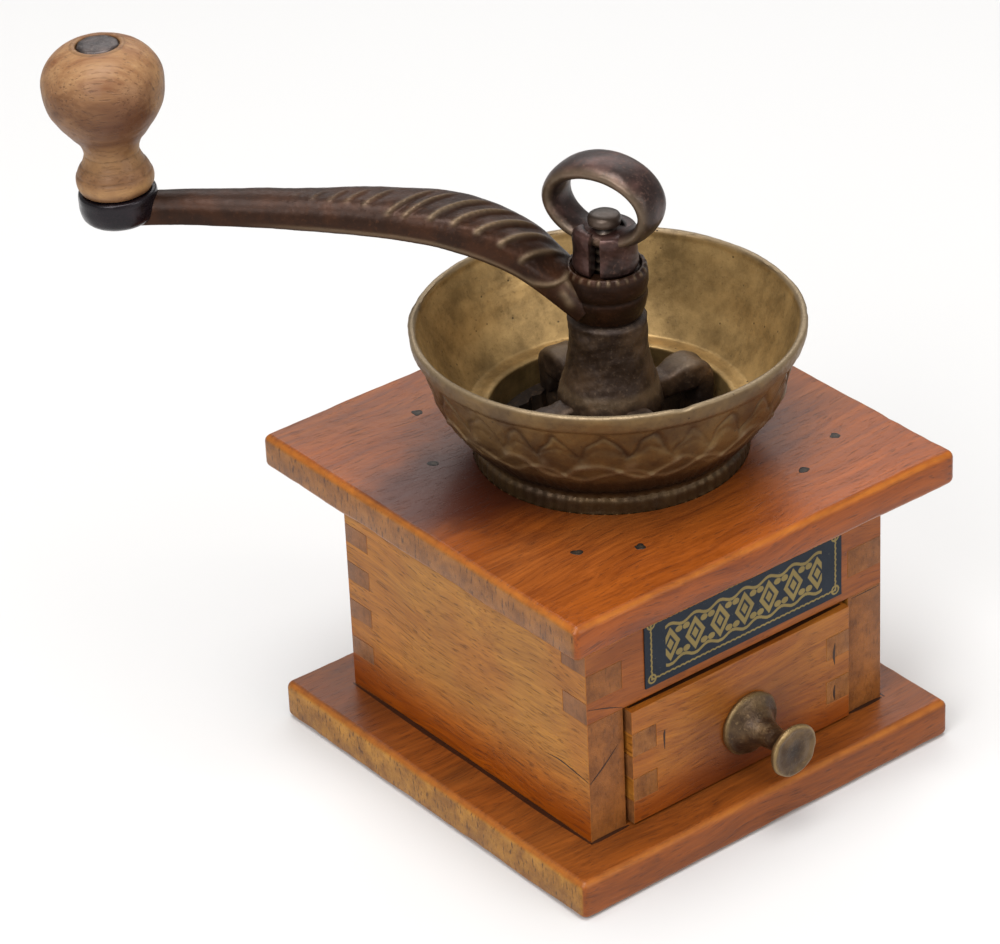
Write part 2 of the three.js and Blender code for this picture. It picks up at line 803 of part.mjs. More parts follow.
function addSpindle() {
  const footTop = spindleBottom + spindleFootThickness;
  const capLow = spindleTop - spindleCapThickness;
  const squareLow = hubBottom + spindleTravel;
  const squareTop = nutBottom - spindleTravel - spindleGap;
  const round = turned([
    [0, spindleBottom], [spindleFootRadius, spindleBottom], [spindleFootRadius, footTop],
    [spindleRadius, footTop], [spindleRadius, squareTop], [threadRadius, squareTop], [threadRadius, capLow],
    ...capShares.map(([out, up]) => [spindleCapRadius * out, capLow + spindleCapThickness * up]),
  ], 24);
  const squareHeight = squareTop - squareLow;
  const square = block(spindleSquare, spindleSquare, squareHeight, 0, 0, squareLow + squareHeight / 2);
  square.rotateZ(radians(crankAngle));
  const shaft = cut(joined([round, square]), [crossPin(fastenerGap)]);
  add('spindle', geometryOf(shaft), darkIron(), mill);
}

// Crank, in a group turned to the arm's direction
const crank = new THREE.Group();
crank.rotation.z = radians(crankAngle);
mill.add(crank);

// The arm's run as [place, rise, width, thickness] shares along the crank's length
const armShares = [
  [0.04, -0.048, 0.92, 0.68], [0.1, 0.25, 0.96, 0.77], [0.16, 0.524, 1, 0.91], [0.24, 0.744, 1.01, 0.985],
  [0.32, 0.87, 0.95, 1], [0.4, 0.931, 0.845, 0.955], [0.5, 0.964, 0.755, 0.89], [0.6, 0.979, 0.645, 0.815],
  [0.73, 0.997, 0.58, 0.74], [0.875, 1.003, 0.485, 0.715], [1, 0.979, 0.46, 0.69],
];
const armStations = 34;
const crownPoints = 9;
const crownShare = 0.62;
const crownDrop = 0.12;
const crownPower = 0.7;
const armFootShare = 0.44;
const slopeStepShare = 0.005;
const plainShare = 0.2;

// Depth of the flutes at a place along the arm. Across runs from 0 at the plain near edge to 1, and the
// flutes lean towards the hub as they near the far edge.
function fluteAt(along, across) {
  if (along < fluteFrom || along > fluteTo || across < plainShare) return 0;
  const over = (across - plainShare) / (1 - plainShare);
  const fade = Math.min(1, (fluteTo - along) / (fluteTo - fluteFrom) * 2);
  const leaned = along - fluteFrom + over ** 2 * fluteSweep;
  const wave = 0.5 - 0.5 * Math.cos((2 * Math.PI * leaned) / flutePitch);
  return fluteDepth * fade * wave * Math.sqrt(Math.sin(Math.PI * over));
}

function armLoop(share) {
  const along = crankLength * share;
  const height = hubBottom + crankRunStart + crankRise * tableAt(armShares, share, 1);
  const [behind, ahead] = [share - slopeStepShare, share + slopeStepShare];
  const gain = crankRise * (tableAt(armShares, ahead, 1) - tableAt(armShares, behind, 1));
  const slope = Math.atan2(gain, 2 * crankLength * slopeStepShare);
  const width = crankWidth * tableAt(armShares, share, 2);
  const thickness = crankThickness * tableAt(armShares, share, 3);
  const foot = width * armFootShare;
  const loop = [[foot, -thickness / 2], [-foot, -thickness / 2]];
  for (let i = 0; i < crownPoints; i += 1) {
    const turn = Math.PI * (1 - i / (crownPoints - 1));
    const across = (1 - Math.cos(turn)) / 2;
    const crown = thickness * (crownShare * Math.sin(turn) ** crownPower - crownDrop);
    loop.push([-width / 2 + width * (1 - across), crown - fluteAt(along, across)]);
  }
  const [sine, cosine] = [Math.sin(slope), Math.cos(slope)];
  return loop.map(([y, n]) => new THREE.Vector3(along - n * sine, y, height + n * cosine));
}

function armGeometry() {
  const first = armShares[0][0];
  const loops = [];
  for (let i = 0; i <= armStations; i += 1) {
    loops.push(armLoop(first + (1 - first) * (i / armStations)));
  }
  return loft(loops, false);
}

// Hub profile as [share of the hub's radius, share of its height]
const hubShares = [[0.93, 0.2], [0.965, 0.44], [0.94, 0.48], [1, 0.54]];

function hubGeometry() {
  const profile = [
    [spindleRadius, hubBottom, 0],
    [hubFootRadius, hubBottom, 0],
    ...hubShares.map(([out, up]) => [hubRadius * out, hubBottom + hubHeight * up, 0]),
    [hubRadius, hubTop - hubBeadDepth * 2, 0],
    [hubRadius - hubBeadDepth, hubTop, 1],
    [hubRecessRadius, hubTop, 0],
    [hubRecessRadius, hubTop - hubRecessDepth, 0],
    [spindleRadius, hubTop - hubRecessDepth, 0],
  ];
  return toothedRing(profile, hubBeads, hubBeadDepth, 2);
}

// Sets a shape drawn about the crank's axis at the arm's end, leaning outwards with the knob.
function atArmEnd(geometry) {
  return geometry.translate(0, 0, -bossTop).rotateY(radians(knobLean)).translate(crankLength, 0, bossTop);
}

// Boss profile as [share of the boss's radius, share of its thickness]
const bossShares = [[0.6, 0], [0.86, 0.16], [0.98, 0.45]];

function bossGeometry() {
  const low = bossTop - bossThickness;
  return atArmEnd(turned([
    [0, low],
    ...bossShares.map(([out, up]) => [bossRadius * out, low + bossThickness * up]),
    [bossRadius, bossTop - armRound / 2],
    [bossRadius - armRound / 2, bossTop],
    [0, bossTop],
  ], 24));
}

function addCrank() {
  const clearing = bar(hubRecessRadius, hubTop - hubRecessDepth, hubTop + crankRise);
  const hole = spindleSquare + 2 * spindleGap;
  const through = block(hole, hole, hubHeight + 2 * overrun, 0, 0, hubBottom + hubHeight / 2);
  const bossLow = bossTop - bossThickness;
  const rivetHole = atArmEnd(bar(rivetRadius + fastenerGap, bossLow - overrun, bossTop + overrun));
  const rivetSeat = atArmEnd(bar(rivetEndRadius + fastenerGap, bossLow - overrun, bossLow + rivetEndHeight));
  const overBoss = atArmEnd(bar(bossRadius, bossTop, bossTop + crankThickness));
  const arm = cut(solid(armGeometry()), [clearing, overBoss]);
  const casting = arm.add(solid(hubGeometry())).add(solid(bossGeometry()));
  add('crank_arm', geometryOf(cut(casting, [through, rivetHole, rivetSeat])), darkIron(), crank);
}

// Turned knob: [radius, height] shares of its widest radius and its height
const gripShares = [
  [0.55, 0], [0.6, 0.035], [0.617, 0.09], [0.575, 0.15], [0.49, 0.21], [0.458, 0.265], [0.5, 0.33],
  [0.635, 0.4], [0.83, 0.5], [0.95, 0.59], [1, 0.69], [0.985, 0.78], [0.88, 0.87], [0.72, 0.935],
  [0.47, 0.985],
];

// Rivet head: [radius, height] shares above its seat in the knob
const rivetHeadShares = [[1, 0], [0.95, 0.6], [0.6, 0.93], [0, 1]];

function addGrip() {
  const low = bossTop + gripLift;
  const high = low + gripHeight;
  const floor = high - gripRecessDepth;
  const bore = rivetRadius + gripBoreGap;
  const outside = gripShares.map(([out, up]) => [gripRadius * out, low + gripHeight * up]);
  const profile = [
    [bore, low], ...outside, [gripRecessRadius, high], [gripRecessRadius, floor], [bore, floor], [bore, low],
  ];
  add('crank_knob', atArmEnd(turned(profile, 24)), turnedWood(), crank);
  const end = bossTop - bossThickness;
  const seat = floor + gripLift;
  const shoulder = end + rivetEndHeight - fastenerGap;
  const rivet = turned([
    [0, end], [rivetEndRadius, end], [rivetEndRadius, shoulder], [rivetRadius, shoulder], [rivetRadius, seat],
    ...rivetHeadShares.map(([out, up]) => [rivetHeadRadius * out, seat + rivetHeadHeight * up]),
  ], 20);
  add('knob_rivet', atArmEnd(rivet), nailSteel(), crank);
}

// Ring nut, in a group turned so that its eye and slot face along +X
const nut = new THREE.Group();
nut.rotation.z = radians(nutAngle);
mill.add(nut);

const eyeSteps = 26;
const bandPoints = 8;
const eyeNarrowing = 0.25;
const eyeThinning = 0.2;
const bandPower = 0.9;

// A power that keeps its sign, for oval sections with flatter sides.
const signedPower = (value, power) => Math.sign(value) * Math.abs(value) ** power;

// The eye as a band round an oval hole, wider and thicker over the top
function eyeGeometry() {
  const middle = nutBottom + eyeHeight;
  const loops = [];
  for (let i = 0; i < eyeSteps; i += 1) {
    const turn = (2 * Math.PI * i) / eyeSteps;
    const lift = (1 + Math.sin(turn)) / 2;
    const half = (eyeThickness / 2) * (1 - eyeThinning * (1 - lift));
    const band = eyeBand * (1 - eyeNarrowing * (1 - lift));
    const loop = [];
    for (let j = 0; j < bandPoints; j += 1) {
      const a = (2 * Math.PI * j) / bandPoints;
      const inward = half * (1 - signedPower(Math.cos(a), bandPower));
      const y = (eyeRadius - inward) * Math.cos(turn);
      const z = middle + (eyeRiseRadius - inward) * Math.sin(turn);
      loop.push(new THREE.Vector3(band * signedPower(Math.sin(a), bandPower), y, z));
    }
    loops.push(loop);
  }
  return loft(loops, true);
}

// Collar profile as [share of the collar's radius, share of its height]
const collarShares = [[0.94, 0], [1, 0.05], [0.97, 0.45], [1, 0.75], [0.94, 1]];

function addNut() {
  const top = nutBottom + nutCollarHeight;
  const side = collarShares.map(([out, up]) => [nutRadius * out, nutBottom + nutCollarHeight * up]);
  const collar = turned([[0, nutBottom], ...side, [0, top]], 28);
  const bore = bar(threadRadius + nutBoreGap, nutBottom - overrun, top + overrun);
  const seat = bar(nutSeatRadius, top - nutSeatDepth, top + eyeThickness);
  const slotLength = nutRadius + overrun;
  const slotHeight = nutCollarHeight + 2 * overrun;
  const slotMiddle = nutBottom + nutCollarHeight / 2;
  const slot = block(slotLength, nutSlotWidth, slotHeight, slotLength / 2, 0, slotMiddle);
  add('ring_nut', geometryOf(cut(joined([collar, eyeGeometry()]), [bore, seat, slot])), darkIron(), nut);
}

addBoards();
addCase();
addNails();
addLabel();
addDrawer();
addDrawerKnob();
addBowl();
addBridge();
addOuterBurr();
addCone();
addSpindle();
addCrank();
addGrip();
addNut();

export default whole;
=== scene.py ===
# A small wooden box coffee mill in its studio: boards, cast bowl, burr mill and crank.
import bpy
import bmesh
import math
import numpy as np
from mathutils import Matrix, Vector


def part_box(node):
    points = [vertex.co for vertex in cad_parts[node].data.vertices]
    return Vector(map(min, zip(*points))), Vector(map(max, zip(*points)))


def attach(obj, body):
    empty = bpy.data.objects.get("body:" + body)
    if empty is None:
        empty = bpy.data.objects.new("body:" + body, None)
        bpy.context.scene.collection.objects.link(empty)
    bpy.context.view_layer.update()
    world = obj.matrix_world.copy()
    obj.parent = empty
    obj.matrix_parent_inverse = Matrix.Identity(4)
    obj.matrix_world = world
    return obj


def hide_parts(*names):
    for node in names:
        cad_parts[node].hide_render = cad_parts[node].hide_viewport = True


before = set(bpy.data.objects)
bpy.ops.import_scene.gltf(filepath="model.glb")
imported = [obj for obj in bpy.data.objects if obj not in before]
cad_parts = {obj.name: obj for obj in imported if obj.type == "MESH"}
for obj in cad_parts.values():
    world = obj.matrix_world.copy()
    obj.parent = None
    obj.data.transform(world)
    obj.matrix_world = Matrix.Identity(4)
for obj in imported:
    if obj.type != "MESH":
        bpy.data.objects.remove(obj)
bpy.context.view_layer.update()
print("mill: frame loaded,", len(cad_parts), "nodes")


# Helpers

# An sRGB hex value turned to linear: divide by 12.92 below
# 0.04045, else ((v + 0.055) / 1.055) to the power 2.4.
def hexColour(text):
    parts = [int(text[i:i + 2], 16) / 255 for i in (1, 3, 5)]
    return (*[v / 12.92 if v < 0.04045 else ((v + 0.055) / 1.055) ** 2.4 for v in parts], 1.0)


# One node with its settings; each socket is linked if its value is a socket, else set.
def addNode(tree, kind, settings=None, links=None):
    made = tree.nodes.new("ShaderNode" + kind)
    for key, value in (settings or {}).items():
        setattr(made, key, value)
    for socket, value in (links or {}).items():
        if isinstance(value, bpy.types.NodeSocket):
            tree.links.new(value, made.inputs[socket])
        else:
            made.inputs[socket].default_value = value
    return made


# A new material with its shader's fixed values set; its colour and roughness are linked later.
def startFinish(name, metallic=0.0, roughness=0.5, coat=0.0, coatRoughness=0.2, specular=0.5):
    material = bpy.data.materials.new(name)
    material.use_nodes = True
    tree = material.node_tree
    shader = tree.nodes["Principled BSDF"]
    shader.inputs["Metallic"].default_value = metallic
    shader.inputs["Roughness"].default_value = roughness
    shader.inputs["Coat Weight"].default_value = coat
    shader.inputs["Coat Roughness"].default_value = coatRoughness
    shader.inputs["Specular IOR Level"].default_value = specular
    return material, tree, shader


# Points in millimetres and faces as index rows become one
# closed mesh in metres, doubles merged, normals out.
def makeMesh(name, points, faces, marks=None, sharp=38, merge=True):
    mesh = bpy.data.meshes.new(name)
    mesh.from_pydata((np.asarray(points) * 0.001).tolist(), [], faces)
    for key, values in (marks or {}).items():
        layer = mesh.attributes.new(key, "FLOAT", "POINT")
        layer.data.foreach_set("value", np.asarray(values, dtype=np.float32).ravel())
    if merge:
        work = bmesh.new()
        work.from_mesh(mesh)
        bmesh.ops.remove_doubles(work, verts=work.verts, dist=2e-6)
        bmesh.ops.recalc_face_normals(work, faces=work.faces)
        work.to_mesh(mesh)
        work.free()
    mesh.polygons.foreach_set("use_smooth", np.ones(len(mesh.polygons), dtype=bool))
    mesh.set_sharp_from_angle(angle=math.radians(sharp))
    return mesh


# A finished mesh as a piece that rides its body and replaces the CAD nodes that it is drawn for.
def addPiece(name, mesh, material, body, nodes=()):
    piece = bpy.data.objects.new(name, mesh)
    bpy.context.scene.collection.objects.link(piece)
    mesh.materials.append(material)
    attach(piece, body)
    if nodes:
        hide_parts(*nodes)
    return piece


# Quads of a grid: point (i, j) joins (i+1, j), (i+1, j+1) and (i, j+1), wrapping where closed.
def gridFaces(rows, columns, closedRows, closedColumns, start=0):
    i = np.arange(rows if closedRows else rows - 1)[:, None]
    j = np.arange(columns if closedColumns else columns - 1)[None, :]
    ii, jj = (i + 1) % rows, (j + 1) % columns
    quads = np.stack([i * columns + j, ii * columns + j, ii * columns + jj, i * columns + jj], axis=-1)
    return (quads.reshape(-1, 4) + start).tolist()


# A profile of (radius, height) carried round Z: x = r cos a, y = r sin a, z = h, for steps angles.
def turnedGrid(profile, steps, centre=(0, 0)):
    angle = np.linspace(0, 2 * np.pi, steps, endpoint=False)[:, None]
    r, h = np.asarray(profile, dtype=float).T
    x = centre[0] + r[None, :] * np.cos(angle)
    y = centre[1] + r[None, :] * np.sin(angle)
    z = np.broadcast_to(h[None, :], x.shape)
    return np.stack([x, y, z], axis=-1)


# A soft curve through rows of any width. Its slope at a row is the mean of the two
# neighbouring slopes, each weighted by the other one's length; cubic Hermite pieces join
# the rows, sampled at equal steps of the first two columns' length.
def softCurve(rows, count):
    p = np.asarray(rows, dtype=float)
    h = np.linalg.norm(np.diff(p, axis=0)[:, :2], axis=1)[:, None]
    slope = np.diff(p, axis=0) / h
    middle = (h[1:] * slope[:-1] + h[:-1] * slope[1:]) / (h[1:] + h[:-1])
    tangent = np.vstack([slope[:1], middle, slope[-1:]])
    t = np.linspace(0, 1, 24, endpoint=False)[None, :, None]
    a, b, ta, tb, hh = p[:-1, None], p[1:, None], tangent[:-1, None], tangent[1:, None], h[:, None]
    fine = (2 * t ** 3 - 3 * t ** 2 + 1) * a + (t ** 3 - 2 * t ** 2 + t) * hh * ta + (3 * t ** 2
        - 2 * t ** 3) * b + (t ** 3 - t ** 2) * hh * tb
    fine = np.vstack([fine.reshape(-1, p.shape[1]), p[-1:]])
    length = np.concatenate([[0], np.cumsum(np.linalg.norm(np.diff(fine[:, :2], axis=0), axis=1))])
    at = np.linspace(0, length[-1], count)
    return np.stack([np.interp(at, length, column) for column in fine.T], axis=-1)


# A smooth random field from -1 to 1: the mean of eight sine waves of
# about the given size in mm, in random directions.
def unevenness(points, size, seed):
    dice = np.random.default_rng(seed)
    total = np.zeros(points.shape[:-1])
    for _ in range(8):
        direction = dice.normal(size=3)
        direction /= np.linalg.norm(direction) * size * dice.uniform(0.6, 1.5) / (2 * np.pi)
        total += np.sin(points @ direction + dice.uniform(0, 2 * np.pi))
    return total / 4


# Points turned about Z: x' = x cos a - y sin a, y' = x sin a + y cos a.
def spun(points, degrees):
    a = math.radians(degrees)
    return points @ np.array([[math.cos(a), math.sin(a), 0], [-math.sin(a), math.cos(a), 0], [0, 0, 1]])


# 0 below low, 1 above high, 3t^2 - 2t^3 between.
def softStep(x, low, high):
    t = np.clip((x - low) / (high - low), 0, 1)
    return t * t * (3 - 2 * t)


# Finishes

# Sawn softwood under brown spirit varnish: streaks along the grain, growth rings, short dark pores, paler
# and flecked where the grain ends, amber where the varnish pooled (on the knob's top band partly painted
# light from above) and along the edges, where it is partly rubbed and partly a painted highlight.
def varnishedWood(name, look):
    material, tree, shader = startFinish(name, roughness=look["roughness"], coat=look["coat"],
        coatRoughness=0.25, specular=0.25)
    spot = addNode(tree, "TexCoord")
    place = spot.outputs["Object"]
    turned = addNode(tree, "Mapping", {},
        {"Vector": place, "Rotation": look["turn"], "Scale": (1000, 1000, 1000)}).outputs[0]
    # the grain wanders by about 2 mm over 30 mm
    drift = addNode(tree, "TexNoise", {}, {"Vector": turned, "Scale": 0.035, "Detail": 1.0}).outputs["Color"]
    grown = addNode(tree, "VectorMath", {"operation": "MULTIPLY_ADD"},
        {0: drift, 1: (0, 7, 7), 2: turned}).outputs[0]
    # soft figure 3 mm wide and 30 mm long, and streaks 0.5 mm wide and 15 mm long
    figurePlace = addNode(tree, "Mapping", {},
        {"Vector": grown, "Location": look["pith"], "Scale": (0.032, 0.33, 0.33)}).outputs[0]
    figure = addNode(tree, "TexNoise", {},
        {"Vector": figurePlace, "Scale": 1.0, "Detail": 3.0, "Roughness": 0.55,
            "Distortion": 0.6}).outputs["Fac"]
    streakPlace = addNode(tree, "Mapping", {}, {"Vector": grown, "Scale": (0.07, 2.0, 2.0)}).outputs[0]
    streaks = addNode(tree, "TexNoise", {},
        {"Vector": streakPlace, "Scale": 1.0, "Detail": 4.0, "Roughness": 0.65}).outputs["Fac"]
    # short dark pores 0.3 mm wide and 2 mm long
    porePlace = addNode(tree, "Mapping", {}, {"Vector": grown, "Scale": (0.26, 3.2, 3.2)}).outputs[0]
    poreNoise = addNode(tree, "TexNoise", {},
        {"Vector": porePlace, "Scale": 1.0, "Detail": 2.0, "Roughness": 0.55}).outputs["Fac"]
    pores = addNode(tree, "MapRange", {},
        {"Value": poreNoise, "From Min": look["poreFrom"],
            "From Max": look["poreFrom"] + 0.12}).outputs[0]
    grain = addNode(tree, "Mix", {"data_type": "FLOAT"},
        {0: look["figure"], 2: streaks, 3: figure}).outputs[0]
    grainFade = addNode(tree, "MapRange", {}, {"Value": grain, "From Min": 0.34, "From Max": 0.66}).outputs[0]
    wood = addNode(tree, "Mix", {"data_type": "RGBA"},
        {0: grainFade, 6: hexColour(look["dark"]), 7: hexColour(look["light"])}).outputs[2]
    amber = addNode(tree, "Mix", {"data_type": "RGBA"},
        {0: grainFade, 6: hexColour(look["amberDark"]), 7: hexColour(look["amber"])}).outputs[2]
    # amber varnish where it pooled in 12 mm clouds, and towards one edge of the piece; on the knob that band
    # is its top, paler partly in its own tone and partly as painted light from above
    blotches = addNode(tree, "TexNoise", {},
        {"Vector": turned, "Scale": 0.055, "Detail": 4.0, "Roughness": 0.6}).outputs["Fac"]
    pooled = addNode(tree, "MapRange", {"interpolation_type": "SMOOTHSTEP"},
        {"Value": blotches, "From Min": 0.4, "From Max": 0.64, "To Max": look["pooling"]}).outputs[0]
    axes = addNode(tree, "SeparateXYZ", {}, {0: place})
    low = addNode(tree, "MapRange", {"interpolation_type": "SMOOTHSTEP"},
        {"Value": axes.outputs[look["amberBandAndLightAxis"]], "From Min": look["amberBandAndLight"][0] * 0.001,
            "From Max": look["amberBandAndLight"][1] * 0.001}).outputs[0]
    amberBandAndLight = addNode(tree, "Math", {"operation": "MAXIMUM"}, {0: low, 1: pooled}).outputs[0]
    varnished = addNode(tree, "Mix", {"data_type": "RGBA"}, {0: amberBandAndLight, 6: wood, 7: amber}).outputs[2]
    # a dark patch about one place, its outline broken by the same clouds: a stain on the boards, panels and
    # drawer, and painted shade on the knob's belly where it faces the camera
    away = addNode(tree, "VectorMath", {"operation": "DISTANCE"},
        {0: place, 1: [v * 0.001 for v in look["stainAndShade"][:3]]}).outputs["Value"]
    broken = addNode(tree, "Math", {"operation": "MULTIPLY_ADD"}, {0: blotches, 1: 0.022, 2: away}).outputs[0]
    stainedAndShaded = addNode(tree, "MapRange", {"interpolation_type": "SMOOTHSTEP"},
        {"Value": broken, "From Min": look["stainAndShade"][3] * 0.001 + 0.011,
            "From Max": look["stainAndShade"][4] * 0.001 + 0.011, "To Min": look["stainAndShade"][5],
            "To Max": 0.0}).outputs[0]
    toned = addNode(tree, "Mix", {"data_type": "RGBA"},
        {0: stainedAndShaded, 6: varnished, 7: hexColour(look["stainAndShadeColour"])}).outputs[2]
    # where the grain ends: the cut ends of the fibres, with dark saw nicks 0.4 mm wide and 1.5 mm tall
    normal = addNode(tree, "VectorRotate", {"rotation_type": "EULER_XYZ"},
        {"Vector": spot.outputs["Normal"], "Rotation": look["turn"]}).outputs[0]
    facing = addNode(tree, "Math", {"operation": "ABSOLUTE"},
        {0: addNode(tree, "SeparateXYZ", {}, {0: normal}).outputs[0]}).outputs[0]
    ends = addNode(tree, "MapRange", {"interpolation_type": "SMOOTHSTEP"},
        {"Value": facing, "From Min": 0.72, "From Max": 0.95}).outputs[0]
    fleckPlace = addNode(tree, "Mapping", {},
        {"Vector": turned, "Rotation": (look["sawSlant"], 0, 0), "Scale": (1.0, 2.1, 0.6)}).outputs[0]
    fleckNoise = addNode(tree, "TexNoise", {},
        {"Vector": fleckPlace, "Scale": 0.9, "Detail": 3.0, "Roughness": 0.6}).outputs["Fac"]
    endCloud = addNode(tree, "TexNoise", {},
        {"Vector": turned, "Scale": 0.3, "Detail": 4.0, "Roughness": 0.65}).outputs["Fac"]
    endFade = addNode(tree, "MapRange", {},
        {"Value": endCloud, "From Min": 0.34, "From Max": 0.66}).outputs[0]
    endWood = addNode(tree, "Mix", {"data_type": "RGBA"},
        {0: endFade, 6: hexColour(look["endDark"]), 7: hexColour(look["endLight"])}).outputs[2]
    nicks = addNode(tree, "MapRange", {},
        {"Value": fleckNoise, "From Min": 0.56, "From Max": 0.68, "To Max": look["nicks"]}).outputs[0]
    endNicked = addNode(tree, "Mix", {"data_type": "RGBA"},
        {0: nicks, 6: endWood, 7: hexColour(look["poreColour"])}).outputs[2]
    poreShare = addNode(tree, "Math", {"operation": "MULTIPLY"}, {0: pores, 1: look["pores"]}).outputs[0]
    pored = addNode(tree, "Mix", {"data_type": "RGBA"},
        {0: poreShare, 6: toned, 7: hexColour(look["poreColour"])}).outputs[2]
    body = addNode(tree, "Mix", {"data_type": "RGBA"}, {0: ends, 6: pored, 7: endNicked}).outputs[2]
    # paler edges, from the piece's own edge mark, broken up by a 3 mm noise: partly rubbed varnish and partly
    # a painted highlight along the rounded edges
    edge = addNode(tree, "Attribute", {"attribute_name": "edge"}).outputs["Fac"]
    rubAndSheenNoise = addNode(tree, "TexNoise", {}, {"Vector": turned, "Scale": 0.4, "Detail": 3.0}).outputs["Fac"]
    rubAndSheen = addNode(tree, "Math", {"operation": "MULTIPLY"},
        {0: edge, 1: addNode(tree, "MapRange", {},
            {"Value": rubAndSheenNoise, "From Min": 0.25, "From Max": 0.7, "To Min": look["rubAndSheen"] * 0.35,
            "To Max": look["rubAndSheen"]}).outputs[0]}).outputs[0]
    paledOnEdgesAndCrests = addNode(tree, "Mix", {"data_type": "RGBA"},
        {0: rubAndSheen, 6: body, 7: hexColour(look["edge"])}).outputs[2]
    # darkened by the piece's dark mark: the dark inside splits and slits, painted shade in the gap above the
    # drawer and along the case's foot, and the knob darker in its tool rings and round its rivet
    grimeAndShade = addNode(tree, "Attribute", {"attribute_name": "grimeAndShade"}).outputs["Fac"]
    grimedAndShaded = addNode(tree, "Mix", {"data_type": "RGBA"},
        {0: grimeAndShade, 6: paledOnEdgesAndCrests, 7: hexColour("#22150F")}).outputs[2]
    tree.links.new(grimedAndShaded, shader.inputs["Base Color"])
    rough = addNode(tree, "MapRange", {},
        {"Value": streaks, "From Min": 0.2, "From Max": 0.8, "To Min": look["roughness"] - 0.07,
            "To Max": look["roughness"] + 0.12}).outputs[0]
    tree.links.new(rough, shader.inputs["Roughness"])
    relief = addNode(tree, "Math", {"operation": "SUBTRACT"}, {0: grain, 1: pores}).outputs[0]
    bump = addNode(tree, "Bump", {},
        {"Strength": look["relief"], "Distance": 0.00012, "Height": relief}).outputs[0]
    tree.links.new(bump, shader.inputs["Normal"])
    return material


# Sand-cast iron under old brown lacquer: a 1 mm cast grain, worn to
# reddish brown, with dull bare metal on what hands rub and painted highlights on crests, and painted shade in
# hollows.
def lacqueredIron(name, look):
    material, tree, shader = startFinish(name, metallic=look["metallic"], roughness=look["roughness"],
        coat=look["coat"], coatRoughness=0.3, specular=look["specular"])
    place = addNode(tree, "Mapping", {},
        {"Vector": addNode(tree, "TexCoord").outputs["Object"], "Scale": (1000, 1000, 1000)}).outputs[0]
    cloud = addNode(tree, "TexNoise", {},
        {"Vector": place, "Scale": 0.16, "Detail": 4.0, "Roughness": 0.6}).outputs["Fac"]
    sand = addNode(tree, "TexNoise", {},
        {"Vector": place, "Scale": 1.5, "Detail": 4.0, "Roughness": 0.65}).outputs["Fac"]
    worn = addNode(tree, "MapRange", {"interpolation_type": "SMOOTHSTEP"},
        {"Value": cloud, "From Min": 0.4, "From Max": 0.66}).outputs[0]
    coat = addNode(tree, "Mix", {"data_type": "RGBA"},
        {0: worn, 6: hexColour(look["dark"]), 7: hexColour(look["warm"])}).outputs[2]
    speck = addNode(tree, "MapRange", {},
        {"Value": sand, "From Min": 0.56, "From Max": 0.74, "To Max": 0.5}).outputs[0]
    specked = addNode(tree, "Mix", {"data_type": "RGBA"},
        {0: speck, 6: coat, 7: hexColour(look["speck"])}).outputs[2]
    # paler on each piece's crest mark: partly rubbed bare metal and partly painted highlights
    crest = addNode(tree, "Attribute", {"attribute_name": "crest"}).outputs["Fac"]
    crestShare = addNode(tree, "Math", {"operation": "MULTIPLY"}, {0: crest, 1: look["rubAndSheen"]}).outputs[0]
    paledOnEdgesAndCrests = addNode(tree, "Mix", {"data_type": "RGBA"},
        {0: crestShare, 6: specked, 7: hexColour(look["bareAndHighlight"])}).outputs[2]
    # darker on each piece's hollow mark: painted shade in hollows, grooves and low places, and the nail
    # heads' own dark
    hollow = addNode(tree, "Attribute", {"attribute_name": "hollow"}).outputs["Fac"]
    hollowShare = addNode(tree, "Math", {"operation": "MULTIPLY"}, {0: hollow, 1: 0.8}).outputs[0]
    shaded = addNode(tree, "Mix", {"data_type": "RGBA"},
        {0: hollowShare, 6: paledOnEdgesAndCrests, 7: hexColour("#120C0A")}).outputs[2]
    tree.links.new(shaded, shader.inputs["Base Color"])
    rough = addNode(tree, "MapRange", {},
        {"Value": sand, "From Min": 0.3, "From Max": 0.7, "To Min": look["roughness"] - 0.08,
            "To Max": look["roughness"] + 0.14}).outputs[0]
    tree.links.new(rough, shader.inputs["Roughness"])
    bump = addNode(tree, "Bump", {},
        {"Strength": look["relief"], "Distance": 0.00015, "Height": sand}).outputs[0]
    tree.links.new(bump, shader.inputs["Normal"])
    return material
